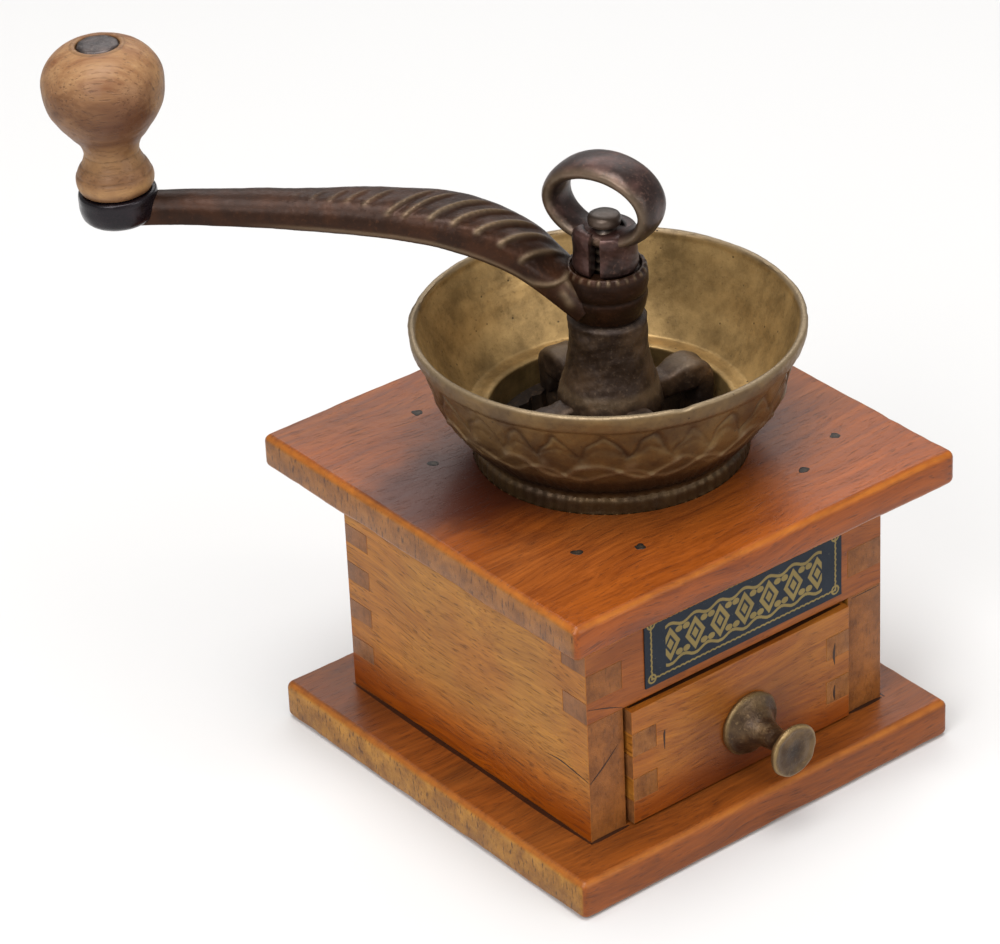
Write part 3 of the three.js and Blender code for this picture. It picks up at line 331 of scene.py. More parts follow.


# Cast iron with a bronze finish: olive gold outside with brown left
# in every hollow and painted shade on its lower outside, rubbed to plain gold inside, pitted.
def bronzedBowl(name, look):
    material, tree, shader = startFinish(name, metallic=0.62, roughness=0.42)
    place = addNode(tree, "Mapping", {},
        {"Vector": addNode(tree, "TexCoord").outputs["Object"], "Scale": (1000, 1000, 1000)}).outputs[0]
    cloud = addNode(tree, "TexNoise", {},
        {"Vector": place, "Scale": 0.12, "Detail": 6.0, "Roughness": 0.7}).outputs["Fac"]
    grit = addNode(tree, "TexNoise", {},
        {"Vector": place, "Scale": 1.3, "Detail": 5.0, "Roughness": 0.7}).outputs["Fac"]
    patch = addNode(tree, "MapRange", {"interpolation_type": "SMOOTHSTEP"},
        {"Value": cloud, "From Min": 0.3, "From Max": 0.7}).outputs[0]
    outside = addNode(tree, "Mix", {"data_type": "RGBA"},
        {0: patch, 6: hexColour(look["outsideDark"]), 7: hexColour(look["outside"])}).outputs[2]
    gold = addNode(tree, "Mix", {"data_type": "RGBA"},
        {0: patch, 6: hexColour(look["insideDark"]), 7: hexColour(look["inside"])}).outputs[2]
    inside = addNode(tree, "Attribute", {"attribute_name": "inside"}).outputs["Fac"]
    both = addNode(tree, "Mix", {"data_type": "RGBA"}, {0: inside, 6: outside, 7: gold}).outputs[2]
    crest = addNode(tree, "Attribute", {"attribute_name": "crest"}).outputs["Fac"]
    paledOnEdgesAndCrests = addNode(tree, "Mix", {"data_type": "RGBA"},
        {0: crest, 6: both, 7: hexColour(look["rim"])}).outputs[2]
    # blow holes about 0.5 mm across, some 5 mm apart, and finer dark grit
    pitCells = addNode(tree, "TexVoronoi", {"feature": "F1"},
        {"Vector": place, "Scale": 0.34, "Randomness": 1.0}).outputs["Distance"]
    pits = addNode(tree, "MapRange", {},
        {"Value": pitCells, "From Min": 0.04, "From Max": 0.085, "To Min": 0.75,
            "To Max": 0.0}).outputs[0]
    gritDark = addNode(tree, "MapRange", {},
        {"Value": grit, "From Min": 0.58, "From Max": 0.76, "To Max": 0.55}).outputs[0]
    spots = addNode(tree, "Math", {"operation": "MAXIMUM"}, {0: pits, 1: gritDark}).outputs[0]
    hollow = addNode(tree, "Attribute", {"attribute_name": "hollow"}).outputs["Fac"]
    darkness = addNode(tree, "Math", {"operation": "MAXIMUM"}, {0: spots, 1: hollow}).outputs[0]
    toned = addNode(tree, "Mix", {"data_type": "RGBA"},
        {0: darkness, 6: paledOnEdgesAndCrests, 7: hexColour(look["hollow"])}).outputs[2]
    tree.links.new(toned, shader.inputs["Base Color"])
    rough = addNode(tree, "MapRange", {},
        {"Value": grit, "From Min": 0.3, "From Max": 0.7, "To Min": 0.36, "To Max": 0.56}).outputs[0]
    tree.links.new(rough, shader.inputs["Roughness"])
    height = addNode(tree, "Math", {"operation": "SUBTRACT"}, {0: grit, 1: pits}).outputs[0]
    bump = addNode(tree, "Bump", {}, {"Strength": 0.35, "Distance": 0.00014, "Height": height}).outputs[0]
    tree.links.new(bump, shader.inputs["Normal"])
    return material


# Old printed paper: navy ink with a gold ornament, faded in
# clouds and rubbed through to the paper in specks.
def printedPaper(name, look):
    material, tree, shader = startFinish(name, roughness=0.6, specular=0.25)
    place = addNode(tree, "Mapping", {},
        {"Vector": addNode(tree, "TexCoord").outputs["Object"], "Scale": (1000, 1000, 1000)}).outputs[0]
    ink = addNode(tree, "Attribute", {"attribute_name": "gold"}).outputs["Fac"]
    cloud = addNode(tree, "TexNoise", {},
        {"Vector": place, "Scale": 0.22, "Detail": 4.0, "Roughness": 0.65}).outputs["Fac"]
    wearNoise = addNode(tree, "TexNoise", {},
        {"Vector": place, "Scale": 1.4, "Detail": 5.0, "Roughness": 0.75}).outputs["Fac"]
    navy = addNode(tree, "Mix", {"data_type": "RGBA"},
        {0: cloud, 6: hexColour(look["navy"]), 7: hexColour(look["faded"])}).outputs[2]
    gold = addNode(tree, "Mix", {"data_type": "RGBA"},
        {0: cloud, 6: hexColour(look["goldDark"]), 7: hexColour(look["gold"])}).outputs[2]
    printed = addNode(tree, "Mix", {"data_type": "RGBA"}, {0: ink, 6: navy, 7: gold}).outputs[2]
    worn = addNode(tree, "MapRange", {},
        {"Value": wearNoise, "From Min": 0.64, "From Max": 0.74, "To Max": 0.6}).outputs[0]
    paper = addNode(tree, "Mix", {"data_type": "RGBA"},
        {0: worn, 6: printed, 7: hexColour(look["paper"])}).outputs[2]
    tree.links.new(paper, shader.inputs["Base Color"])
    bump = addNode(tree, "Bump", {}, {"Strength": 0.25, "Distance": 0.00008, "Height": wearNoise}).outputs[0]
    tree.links.new(bump, shader.inputs["Normal"])
    return material


quarter = math.pi / 2
boardLook = {"turn": (0, 0, 0), "pith": (0, 21, -34), "figure": 0.5, "dark": "#5E2C12",
    "light": "#92501E", "amberDark": "#6C3007", "amber": "#964A0F", "endDark": "#70441C",
    "endLight": "#925E28", "edge": "#B0691F", "poreColour": "#33170A", "pores": 0.5, "poreFrom": 0.58,
    "pooling": 0.6, "amberBandAndLight": (-12, -44), "amberBandAndLightAxis": 1, "stainAndShade": (-25, 4, 57.4, 9, 25, 0.95),
    "stainAndShadeColour": "#3C170A", "sawSlant": 0.12, "nicks": 0.8, "roughness": 0.38, "coat": 0.15, "rubAndSheen": 0.7,
    "relief": 0.3}
baseLook = dict(boardLook, dark="#5E3212", light="#8E4F1C", pith=(0, -15, 42), amberBandAndLight=(-20, -60),
    pooling=0.4, roughness=0.44, figure=0.45, stainAndShade=(-34, 30, 7.3, 4, 26, 0.4), sawSlant=0.55,
    endDark="#7C501C", endLight="#AA762C")
sideLook = dict(boardLook, turn=(0, 0, quarter), pith=(0, 46, 12), dark="#8E5A1E", light="#BA8034",
    amberDark="#763200", amber="#AC5404", nicks=0.35, endDark="#70411C", endLight="#945A28", amberBandAndLight=(24, 8),
    amberBandAndLightAxis=2, stainAndShade=(-32, 33, 10, 2, 20, 0.6), stainAndShadeColour="#6A2C08", pooling=0.3, pores=0.5,
    poreFrom=0.565, roughness=0.44, coat=0.08, relief=0.4, figure=0.4)
railLook = dict(boardLook, pith=(0, -52, 20), dark="#723A12", light="#A05A20", amberDark="#783608",
    amber="#9E5010", sawSlant=0.0, nicks=0.3, endDark="#6C4426", endLight="#8E5C32", amberBandAndLight=(19, 8),
    amberBandAndLightAxis=2, stainAndShade=(30, -32, 12, 2, 12, 0.5), pooling=0.4, roughness=0.42, coat=0.12, pores=0.42)
drawerLook = dict(railLook, pith=(0, -40, 3), dark="#7C4214", light="#B06E26",
    stainAndShade=(4, -33, 9, 3, 24, 0.75), stainAndShadeColour="#56240C")
drawerSideLook = dict(sideLook, endDark="#74441C", endLight="#96602E", amberBandAndLight=(-60, -90))
# the knob's dark patch on its belly, on the side facing the camera, is painted shade
# the knob's paler top band is partly its own grey tan and partly painted light from above
knobLook = dict(boardLook, turn=(0.1, -0.06, 0.7), pith=(0, 9, 14), dark="#52341E", light="#7E573A",
    amberDark="#744A2C", figure=0.7, amber="#A07C56", endDark="#765234", endLight="#98724A",
    amberBandAndLight=(124.5, 130.5), amberBandAndLightAxis=2, pooling=0.4, pores=0.38, poreFrom=0.57,
    stainAndShade=(-62, 43, 117.5, 2, 12, 0.6), stainAndShadeColour="#58321E", roughness=0.46, coat=0.06, relief=0.6,
    edge="#B38A5A")
boardWood = varnishedWood("varnishedPineTopBoard", boardLook)
baseWood = varnishedWood("varnishedPineBaseBoard", baseLook)
sideWood = varnishedWood("varnishedPineSides", sideLook)
railWood = varnishedWood("varnishedPineRail", railLook)
drawerWood = varnishedWood("varnishedPineDrawerFront", drawerLook)
drawerSideWood = varnishedWood("varnishedPineDrawerSides", drawerSideLook)
turnedWood = varnishedWood("turnedBeechKnob", knobLook)

ironLook = {"dark": "#2A180E", "warm": "#3A2112", "speck": "#52321E", "bareAndHighlight": "#9A8468", "metallic": 0.55,
    "roughness": 0.37, "coat": 0.12, "rubAndSheen": 0.45, "relief": 0.4, "specular": 0.5}
crankIron = lacqueredIron("brownLacqueredIronCrank",
    dict(ironLook, metallic=0.45, roughness=0.41, coat=0.06, specular=0.2))
nutIron = lacqueredIron("brownLacqueredIronNut",
    dict(ironLook, dark="#2B1C18", warm="#503630", speck="#7A5A4C", relief=0.2))
bridgeIron = lacqueredIron("brownLacqueredIronBridge",
    dict(ironLook, dark="#30231B", warm="#544233", speck="#6E5B49", roughness=0.5, coat=0.0, relief=0.6))
bossIron = lacqueredIron("blackLacqueredIronBoss",
    dict(ironLook, dark="#120C12", warm="#1E151A", speck="#33262A", roughness=0.24, relief=0.15))
burrIron = lacqueredIron("castIronBurr",
    dict(ironLook, dark="#2A211B", warm="#4A3A2C", speck="#8A6A4A", roughness=0.5))
shaftSteel = lacqueredIron("darkTurnedSteel",
    dict(ironLook, dark="#2C2422", warm="#4A3C36", speck="#6A5B52", roughness=0.38, relief=0.15))
nailIron = lacqueredIron("dullNailIron",
    dict(ironLook, dark="#3A322B", warm="#5A4C3E", speck="#7B6B58", roughness=0.55))
rivetSteel = lacqueredIron("dullRivetSteel",
    dict(ironLook, dark="#2E2828", warm="#584C48", speck="#857A74", roughness=0.36, relief=0.8))
knobBrass = lacqueredIron("tarnishedCastBrassKnob",
    dict(ironLook, dark="#423020", warm="#6C5538", speck="#967B55", bareAndHighlight="#9C8254", metallic=0.7,
        roughness=0.36, rubAndSheen=0.8, relief=1.0))
bowlBronze = bronzedBowl("bronzedCastIronBowl",
    {"outside": "#755930", "outsideDark": "#4E381F", "inside": "#B2925E", "insideDark": "#78603A",
        "rim": "#86745A", "hollow": "#26180E"})
labelPaper = printedPaper("printedNavyPaper",
    {"navy": "#0F1722", "faded": "#222C38", "gold": "#9A8650", "goldDark": "#74643A", "paper": "#7E745C"})
print("mill: finishes made")


# Wooden case

case = {"base": (81.9, 82.2, 0.0, 7.3), "top": (82.6, 83.6, 50.9, 57.4), "boardRound": 1.2,
    "boardCorner": 1.25, "width": 65.0, "depth": 64.8, "offset": 0.5, "foot": 7.3, "head": 50.9,
    "side": 7.6, "end": 6.2, "backRows": (13.7, 7.6, 3.6, 5), "railRows": (30.5, 9.4, 4.1, 2),
    "railFoot": 30.5, "rounding": 0.14}
mill = {"x": 0.6, "y": -0.8, "foot": 57.4, "hole": 20.0}


# Every corner moves inwards along its bisector: amount times (n1 +
# n2) / (1 + n1.n2), n being the inward edge normals.
def insetLoop(outline, amount):
    before = outline - np.roll(outline, 1, axis=0)
    after = np.roll(before, -1, axis=0)
    n1 = np.stack([-before[:, 1], before[:, 0]], axis=1) / np.linalg.norm(before, axis=1)[:, None]
    n2 = np.stack([-after[:, 1], after[:, 0]], axis=1) / np.linalg.norm(after, axis=1)[:, None]
    return outline + amount * (n1 + n2) / (1 + (n1 * n2).sum(axis=1))[:, None]


# A board: a quarter-round edge profile carried round an outline,
# bottom and top, with flat ends or a round hole through.
def slab(outline, low, high, rounding, steps=5, hole=None):
    outline = np.asarray(outline, dtype=float)
    arc = np.linspace(0, quarter, steps)
    insets = [rounding + 0.04, *(rounding * (1 - np.sin(arc))), *(rounding * (1 - np.cos(arc))),
        rounding + 0.04]
    heights = [low, *(low + rounding * (1 - np.cos(arc))), *(high - rounding * (1 - np.sin(arc))), high]
    edges = [0, *np.sin(2 * arc), *np.sin(2 * arc), 0]
    loops = [np.column_stack([insetLoop(outline, i), np.full(len(outline), h)])
        for i, h in zip(insets, heights)]
    if hole:
        offset = outline - np.array(hole[:2])
        ring = np.array(hole[:2]) + hole[2] * offset / np.linalg.norm(offset, axis=1)[:, None]
        loops += [np.column_stack([ring, np.full(len(ring), h)]) for h in (high, low)]
        edges += [0, 0]
    count = len(outline)
    faces = gridFaces(len(loops), count, bool(hole), True)
    if not hole:
        last = (len(loops) - 1) * count
        faces += [list(range(count)), list(range(last, last + count))]
    return np.vstack(loops), faces, np.repeat(edges, count)


# A rectangle with quarter-round corners, its straight sides cut
# into even steps so that they can be worn unevenly.
def roundedOutline(width, depth, corner, perSide=40):
    x, y = width / 2 - corner, depth / 2 - corner
    loop = []
    for cx, cy, start in ((x, -y, -quarter), (x, y, 0), (-x, y, quarter), (-x, -y, 2 * quarter)):
        arc = np.linspace(start, start + quarter, 7)
        loop.append(np.column_stack([cx + corner * np.cos(arc), cy + corner * np.sin(arc)]))
    rows = []
    for this, following in zip(loop, loop[1:] + loop[:1]):
        rows += [this, this[-1] + (following[0] - this[-1]) * np.linspace(0, 1, perSide + 1)[1:-1, None]]
    return np.vstack(rows)


# One board of the case as a worn slab, its edge mark made by the slab's own rounding.
def makeBoard(name, node, size, material, hole):
    width, depth, low, high = size
    points, faces, edges = slab(roundedOutline(width, depth, case["boardCorner"]), low, high,
        case["boardRound"], 6, hole)
    wear = edges * (0.12 + 0.12 * unevenness(points, 14, 3) + 0.06 * unevenness(points, 3, 5))
    middle = np.array([0, 0, (low + high) / 2])
    points = points - np.sign(points - middle) * np.clip(wear, 0, 1)[:, None] * np.array([0.6, 0.6, 0.6])
    mesh = makeMesh(name, points, faces, {"edge": edges ** 2, "grimeAndShade": np.zeros(len(points))})
    return addPiece(name, mesh, material, "case", [node])


makeBoard("topBoardRounded", "top_board", case["top"], boardWood, (mill["x"], mill["y"], mill["hole"]))
makeBoard("baseBoardRounded", "base_board", case["base"], baseWood, None)


# The end of a jointed board as (place, height) pairs: at
# plain, and at stepped within each finger row.
def steppedEnd(rows, plain, stepped, low, high):
    pairs = [] if rows and rows[0][0] <= low else [(plain, low)]
    for bottom, top in rows:
        pairs += ([(plain, bottom)] if bottom > low else []) + [(stepped, bottom),
            (stepped, top)] + ([(plain, top)] if top < high else [])
    return pairs + [(plain, high)]


# The low and high end of each finger: the first one begins at start, and each next one a pitch higher.
def fingerRows(start, pitch, height, count):
    return [(start + i * pitch, start + i * pitch + height) for i in range(count)]


# A slab drawn flat, stood up: its plan's first axis runs along Y
# for a side panel and along X for an end panel.
def standing(points, axis, offset):
    u, v, w = points.T
    return np.column_stack([w + offset, u, v] if axis == "side" else [u, w + offset, v])


# An upright jointed panel: its outline made a slab, stood up and given to its body.
def makePanel(name, node, outline, thickness, axis, offset, material, body, rounding):
    points, faces, edges = slab(outline, 0, thickness, rounding, 3)
    mesh = makeMesh(name, standing(points, axis, offset), faces,
        {"edge": edges * 0.6, "grimeAndShade": np.zeros(len(points))}, 30)
    return addPiece(name, mesh, material, body, [node])


# Runs an outline anticlockwise, by the sign of the sum of its cross products.
def ringOrder(pairs):
    p = np.asarray(pairs, dtype=float)
    q = np.roll(p, -1, axis=0)
    return p if (p[:, 0] * q[:, 1] - q[:, 0] * p[:, 1]).sum() > 0 else p[::-1]


# The two side panels, the back panel and the front rail, their ends stepped for the finger joints.
def makeCase():
    x, y = case["width"] / 2, case["depth"] / 2
    foot, head, side, end = case["foot"], case["head"], case["side"], case["end"]
    backRows, railRows = fingerRows(*case["backRows"]), fingerRows(*case["railRows"])
    sideOutline = ringOrder(steppedEnd(backRows, y, y - end, foot, head)
        + steppedEnd(railRows, -y, -y + end, foot, head)[::-1])
    endRight = steppedEnd(backRows, x - side, x, foot, head)
    railRight = steppedEnd(railRows, x - side, x, case["railFoot"], head)
    mirrored = lambda pairs: [(-a, b) for a, b in pairs][::-1]
    c, r = case["offset"], case["rounding"]
    makePanel("leftPanelJointed", "left_panel", sideOutline, side, "side", c - x, sideWood, "case",
        r)
    makePanel("rightPanelJointed", "right_panel", sideOutline, side, "side", c + x - side, sideWood,
        "case", r)
    shift = np.array([c, 0])
    makePanel("backPanelJointed", "back_panel", ringOrder(endRight + mirrored(endRight)) + shift, end,
        "end", y - end, railWood, "case", r)
    makePanel("frontRailJointed", "front_rail", ringOrder(railRight + mirrored(railRight)) + shift, end,
        "end", -y, railWood, "case", r)


makeCase()

drawer = {"width": 48.2, "height": 22.2, "foot": 7.65, "front": -33.6, "frontThickness": 5.6, "side": 5.2,
    "depth": 58.6, "rows": 5, "knobX": 1.7, "knobZ": 16.65, "rounding": 0.16}


# The drawer's jointed front and its two sides, the fingers being one fifth of its height.
def makeDrawer():
    x, foot, rise = drawer["width"] / 2, drawer["foot"], drawer["height"] / drawer["rows"]
    rows = [(foot + rise, foot + 2 * rise), (foot + 3 * rise, foot + 4 * rise)]
    head = foot + drawer["height"]
    right = steppedEnd(rows, x, x - drawer["side"], foot, head)
    outline = ringOrder(right + [(-a, b) for a, b in right][::-1]) + np.array([case["offset"], 0])
    r = drawer["rounding"]
    makePanel("drawerFrontJointed", "drawer_front", outline, drawer["frontThickness"], "end",
        drawer["front"], drawerWood, "drawer", r)
    ends = steppedEnd(rows, drawer["front"] + drawer["frontThickness"], drawer["front"], foot, head)
    outline = ringOrder(ends
        + [(drawer["front"] + drawer["depth"], head), (drawer["front"] + drawer["depth"], foot)])
    for name, node, place in (("drawerLeftJointed", "drawer_left", -x),
        ("drawerRightJointed", "drawer_right", x - drawer["side"])):
        makePanel(name, node, outline, drawer["side"], "side", case["offset"] + place, drawerSideWood,
            "drawer", r)


makeDrawer()
print("mill: case and drawer made")


# Drawer knob, nails and label

knob = {"flange": 5.9, "neck": 2.0, "head": 4.85, "length": 12.2, "headThickness": 1.7}


# A bell that runs in to a neck, then a thin disc with a raised rim
# and a dimple; turned round the pull's own axis.
def makeDrawerKnob():
    f, n, h, length = knob["flange"], knob["neck"], knob["head"], knob["length"]
    low = length - knob["headThickness"]
    outer = softCurve([(f * 0.97, 0), (f, 0.45), (f * 0.97, 0.85), (f * 0.8, 1.5), (f * 0.6, 2.7),
            (f * 0.44, 4.4), (n * 1.05, 6.6), (n, 8.2), (n * 1.25, 9.5), (h * 0.6, low),
            (h * 0.93, low + 0.35), (h, low + 0.85), (h * 0.96, length - 0.25), (h * 0.88, length - 0.1),
            (h * 0.74, length - 0.3), (h * 0.45, length - 0.22), (h * 0.2, length - 0.34),
            (0.0, length - 0.36)], 110)
    profile = np.vstack([[(0, 0)], outer])
    grid = turnedGrid(profile, 96)
    # paler on the head's rim and round the bell's foot, partly rubbed brass and partly painted highlight;
    # darker in the dimple as painted shade
    rubAndSheen = 0.75 * np.exp(-((profile[:, 0] - h * 0.96) / 0.22) ** 2) * (profile[:, 1] > low) + 0.7 * np.exp(
        -((profile[:, 0] - f) / 0.35) ** 2)
    hollow = 0.75 * np.exp(-(profile[:, 0] / 1.6) ** 2) * (profile[:, 1] > low)
    points = grid.reshape(-1, 3)
    points = points * (0.988 + 0.012 * unevenness(points, 3, 8))[:, None]
    x, y, z = points.T
    points = np.column_stack([x + drawer["knobX"], drawer["front"] - z, y + drawer["knobZ"]])
    marks = {"crest": np.tile(np.clip(rubAndSheen, 0, 1), 96), "hollow": np.tile(hollow, 96)}
    mesh = makeMesh("drawerKnobCast", points, gridFaces(96, len(profile), True, False), marks)
    addPiece("drawerKnobCast", mesh, knobBrass, "drawer", ["drawer_knob"])


makeDrawerKnob()

label = {"x": 2.1, "front": -32.62, "low": 32.2, "high": 45.6, "width": 43.4, "margin": 1.3}


# A thin sheet on a grid; gold is 1 inside the ornament: a scalloped line round the
# edge, corner rosettes, and a middle band of lozenges between two wavy vines, each
# drawn as a distance to a curve that is under its half width.
def makeLabel():
    columns, rows = 560, 180
    u = np.linspace(-label["width"] / 2, label["width"] / 2, columns)[:, None] * np.ones((1, rows))
    v = np.linspace(label["low"], label["high"], rows)[None, :] * np.ones((columns, 1))
    middle, half = (label["low"] + label["high"]) / 2 - 0.2, (label["high"] - label["low"]) / 2
    across, up = label["width"] / 2 - np.abs(u), half - np.abs(v - (label["low"] + label["high"]) / 2)
    inner = np.minimum(across, up)
    along = np.where(across < up, v, u)
    scallop = np.abs(inner - label["margin"] - 0.16 * np.abs(np.sin(along * 2 * np.pi / 2.2))) < 0.17
    corner = np.hypot(across - label["margin"] - 0.15, up - label["margin"] - 0.15)
    rosette = (np.abs(corner - 0.75) < 0.17) | (corner < 0.28)
    pitch = 5.4
    cell = (u / pitch + 0.5) % 1 - 0.5
    inBand = np.abs(u) < 17.2
    lozenge = np.abs(np.abs(cell) * pitch / 1.7 + np.abs(v - middle) / 2.6 - 1) < 0.27
    seed = np.abs(cell) * pitch / 0.75 + np.abs(v - middle) / 1.15 < 1
    vine = np.abs(np.abs(v - middle) - 3.5 - 0.45 * np.cos(2 * np.pi * u / pitch)) < 0.3
    leaf = ((np.abs(cell) * pitch - 1.9) / 0.75) ** 2 + ((np.abs(v - middle) - 2.2) / 0.6) ** 2 < 1
    gold = scallop | rosette | (inBand & (lozenge | seed | vine | leaf))
    lift = 0.03 * unevenness(np.stack([u, v, v * 0], axis=-1), 9, 4)
    front = np.stack([u + label["x"], label["front"] - lift, v], axis=-1).reshape(-1, 3)
    back = front * np.array([1, 0, 1]) + np.array([0, -32.405, 0])
    points = np.vstack([front, back])
    count = columns * rows
    ring = np.concatenate([np.arange(0, count, rows), np.arange(count - rows, count),
            np.arange(count - 1, 0, -rows), np.arange(rows - 1, -1, -1)])
    ring = ring[np.concatenate([[True], np.diff(ring) != 0])][:-1]
    following = np.roll(ring, -1)
    walls = np.stack([ring, following, following + count, ring + count], axis=-1).tolist()
    faces = gridFaces(columns, rows, False, False) + walls + [(ring + count).tolist()]
    marks = {"gold": np.concatenate([gold.ravel(), np.zeros(count)]).astype(float)}
    used = np.concatenate([np.arange(count), ring + count])
    renumber = np.zeros(2 * count, dtype=int)
    renumber[used] = np.arange(len(used))
    faces = [[int(renumber[i]) for i in face] for face in faces]
    mesh = makeMesh("printedLabel", points[used], faces, {"gold": marks["gold"][used]}, 30)
    addPiece("printedLabel", mesh, labelPaper, "case", ["paper_label"])


makeLabel()
print("mill: knob and label made")


# Bowl

bowl = {"foot": 23.4, "rim": 33.1, "height": 24.0, "steps": 600, "zigzags": 26, "waves": 13}


# The wall profile carried round the axis, then pushed in or out by the relief:
# triangle waves cut below the rim, two crossing waves raised below them, a cut
# band over the foot and small ribs round the foot.
def makeBowl():
    outside = softCurve([(23.4, 0.0), (23.45, 1.2), (23.4, 2.3), (22.9, 3.1), (23.2, 3.9), (24.6, 5.2),
            (27.2, 8.4), (29.2, 12.2), (30.7, 16.4), (31.75, 19.6), (32.0, 20.3), (32.5, 20.8),
            (32.95, 22.0), (33.15, 23.2), (33.1, 23.7), (32.85, 23.95), (32.4, 24.0), (32.0, 23.75),
            (31.6, 22.6), (30.8, 20.5), (29.2, 16.4), (27.5, 12.4), (25.5, 9.3), (24.5, 8.0), (24.0, 7.5),
            (23.2, 7.4), (21.0, 7.4), (20.65, 7.25), (20.6, 6.9)], 220)
    profile = np.vstack([outside, [(20.6, 0.0), (23.4, 0.0)]])
    r, h = profile.T
    steps = bowl["steps"]
    angle = np.linspace(0, 2 * np.pi, steps, endpoint=False)[:, None]
    crown = int(np.argmax(h))
    isOutside = (np.arange(len(r)) < crown)[None, :] & (h[None, :] < 20.8)
    height = np.broadcast_to(h[None, :], (steps, len(r)))
    turn = angle + 0.02 * np.sin(7 * angle) + 0.012 * np.sin(17 * angle + height)
    tooth = np.abs(((turn * bowl["zigzags"] / (2 * np.pi)) % 1) * 2 - 1)
    lift = 0.3 * np.sin(5 * angle) + 0.15 * np.sin(11 * angle)
    wear = np.clip(0.75 + 0.4 * np.sin(3 * angle + 1) * np.sin(8 * angle), 0.35, 1)
    zigzag = wear * np.exp(-((height - 14.3 - 5.0 * (1 - tooth ** 1.3) - lift) / 0.6) ** 2)
    inner = 0.7 * wear * np.exp(
        -((height - 14.0 - 2.6 * (1 - tooth ** 1.5) - lift) / 0.55) ** 2) * (tooth < 0.8)
    swing = np.sin(turn * bowl["waves"] + 0.5)
    waveOne = np.exp(-((height - 11.2 - 1.6 * swing) / 0.6) ** 2) * wear
    waveTwo = np.exp(-((height - 10.4 + 1.2 * np.sin(turn * bowl["waves"] + 1.6)) / 0.5) ** 2) * (1.2
        - 0.6 * wear)
    leaf = np.exp(-((height - 12.4 - 0.5 * np.sin(turn * bowl["waves"] * 2)) / 0.9) ** 2) * np.clip(
        np.sin(turn * bowl["waves"] * 2 + 1), 0, 1) ** 2
    band = softStep(height, 3.3, 4.2) * (1 - softStep(height, 7.4, 9.2))
    ribs = band * (0.5 + 0.5 * np.sin(turn * 78 + 0.35 * height)) * 0.2
    footRibs = (height < 2.9) * (0.5 + 0.5 * np.sin(angle * 74)) * 0.18
    relief = isOutside * (-0.3 * zigzag - 0.18 * inner + 0.34 * waveOne + 0.3 * waveTwo + 0.22 * leaf
        + ribs - 0.16 * band - footRibs)
    notch = np.exp(-((angle - 1.32) * 32.8 / 0.9) ** 2) * np.exp(-((height - 24.0) / 0.7) ** 2)
    nick = np.exp(-((angle - 4.4) * 32.8 / 1.4) ** 2) * np.exp(-((height - 24.0) / 0.5) ** 2)
    grid = turnedGrid(profile, steps)
    rough = 0.05 * unevenness(grid, 2.6, 11) + 0.1 * unevenness(grid, 11, 12)
    keep = (height > 0.4) & (height < 23.9)
    radial = r[None, :] + (relief + rough * keep) * np.where(isOutside | (r[None, :] > 32.0), 1, -0.6)
    z = height - 0.55 * notch - 0.35 * nick + 0.06 * keep * unevenness(grid, 8, 13)
    x = mill["x"] + radial * np.cos(angle)
    y = mill["y"] + radial * np.sin(angle)
    points = np.stack([x, y, mill["foot"] + np.clip(z, 0, None)], axis=-1).reshape(-1, 3)
    # painted shade: the outside darker the lower it lies, below 14.5 mm and more below 9 mm
    low = 0.3 * (1 - softStep(height, 10.5, 14.5)) + 0.3 * (1 - softStep(height, 3, 9))
    hollow = isOutside * np.clip(0.6 * zigzag + 0.35 * inner + 0.4 * band + low
        - 0.45 * (waveOne + waveTwo), 0, 0.95)
    inwards = (np.arange(len(r)) >= crown)[None, :] * np.ones((steps, 1))
    isInside = inwards * softStep(-r[None, :], -32.2, -31.6)
    crest = isOutside * np.clip(0.3 * (waveOne + waveTwo + leaf), 0,
        0.45) + 0.9 * np.exp(-((height - 24.0) / 0.35) ** 2) * (r[None,
            :] > 31.5) + 0.12 * (height > 20.8) * (r[None, :] > 32.2)
    marks = {"hollow": hollow, "inside": isInside, "crest": np.clip(crest * np.ones((steps, 1)), 0, 1)}
    mesh = makeMesh("hopperBowlCast", points, gridFaces(steps, len(profile), True, True),
        {k: v.ravel() for k, v in marks.items()}, 50)
    addPiece("hopperBowlCast", mesh, bowlBronze, "case", ["hopper_bowl"])


makeBowl()
print("mill: bowl made")


# Bridge, spindle and nut

bridge = {"angle": -8.0, "arms": 4}
# out, height, half width, half thickness of a bridge arm,
# from inside the column down to the toothed ring
armPath = np.array([(5.0, 8.2, 2.6, 2.3), (8.4, 8.2, 2.35, 2.2), (11.0, 8.35, 2.4, 2.2),
        (13.2, 8.9, 2.9, 2.5), (15.2, 9.15, 3.15, 2.65), (16.7, 8.5, 3.1, 2.4), (17.35, 7.0, 2.9, 2.0),
        (17.5, 5.2, 2.7, 1.8), (17.5, 3.12, 2.6, 1.75)])


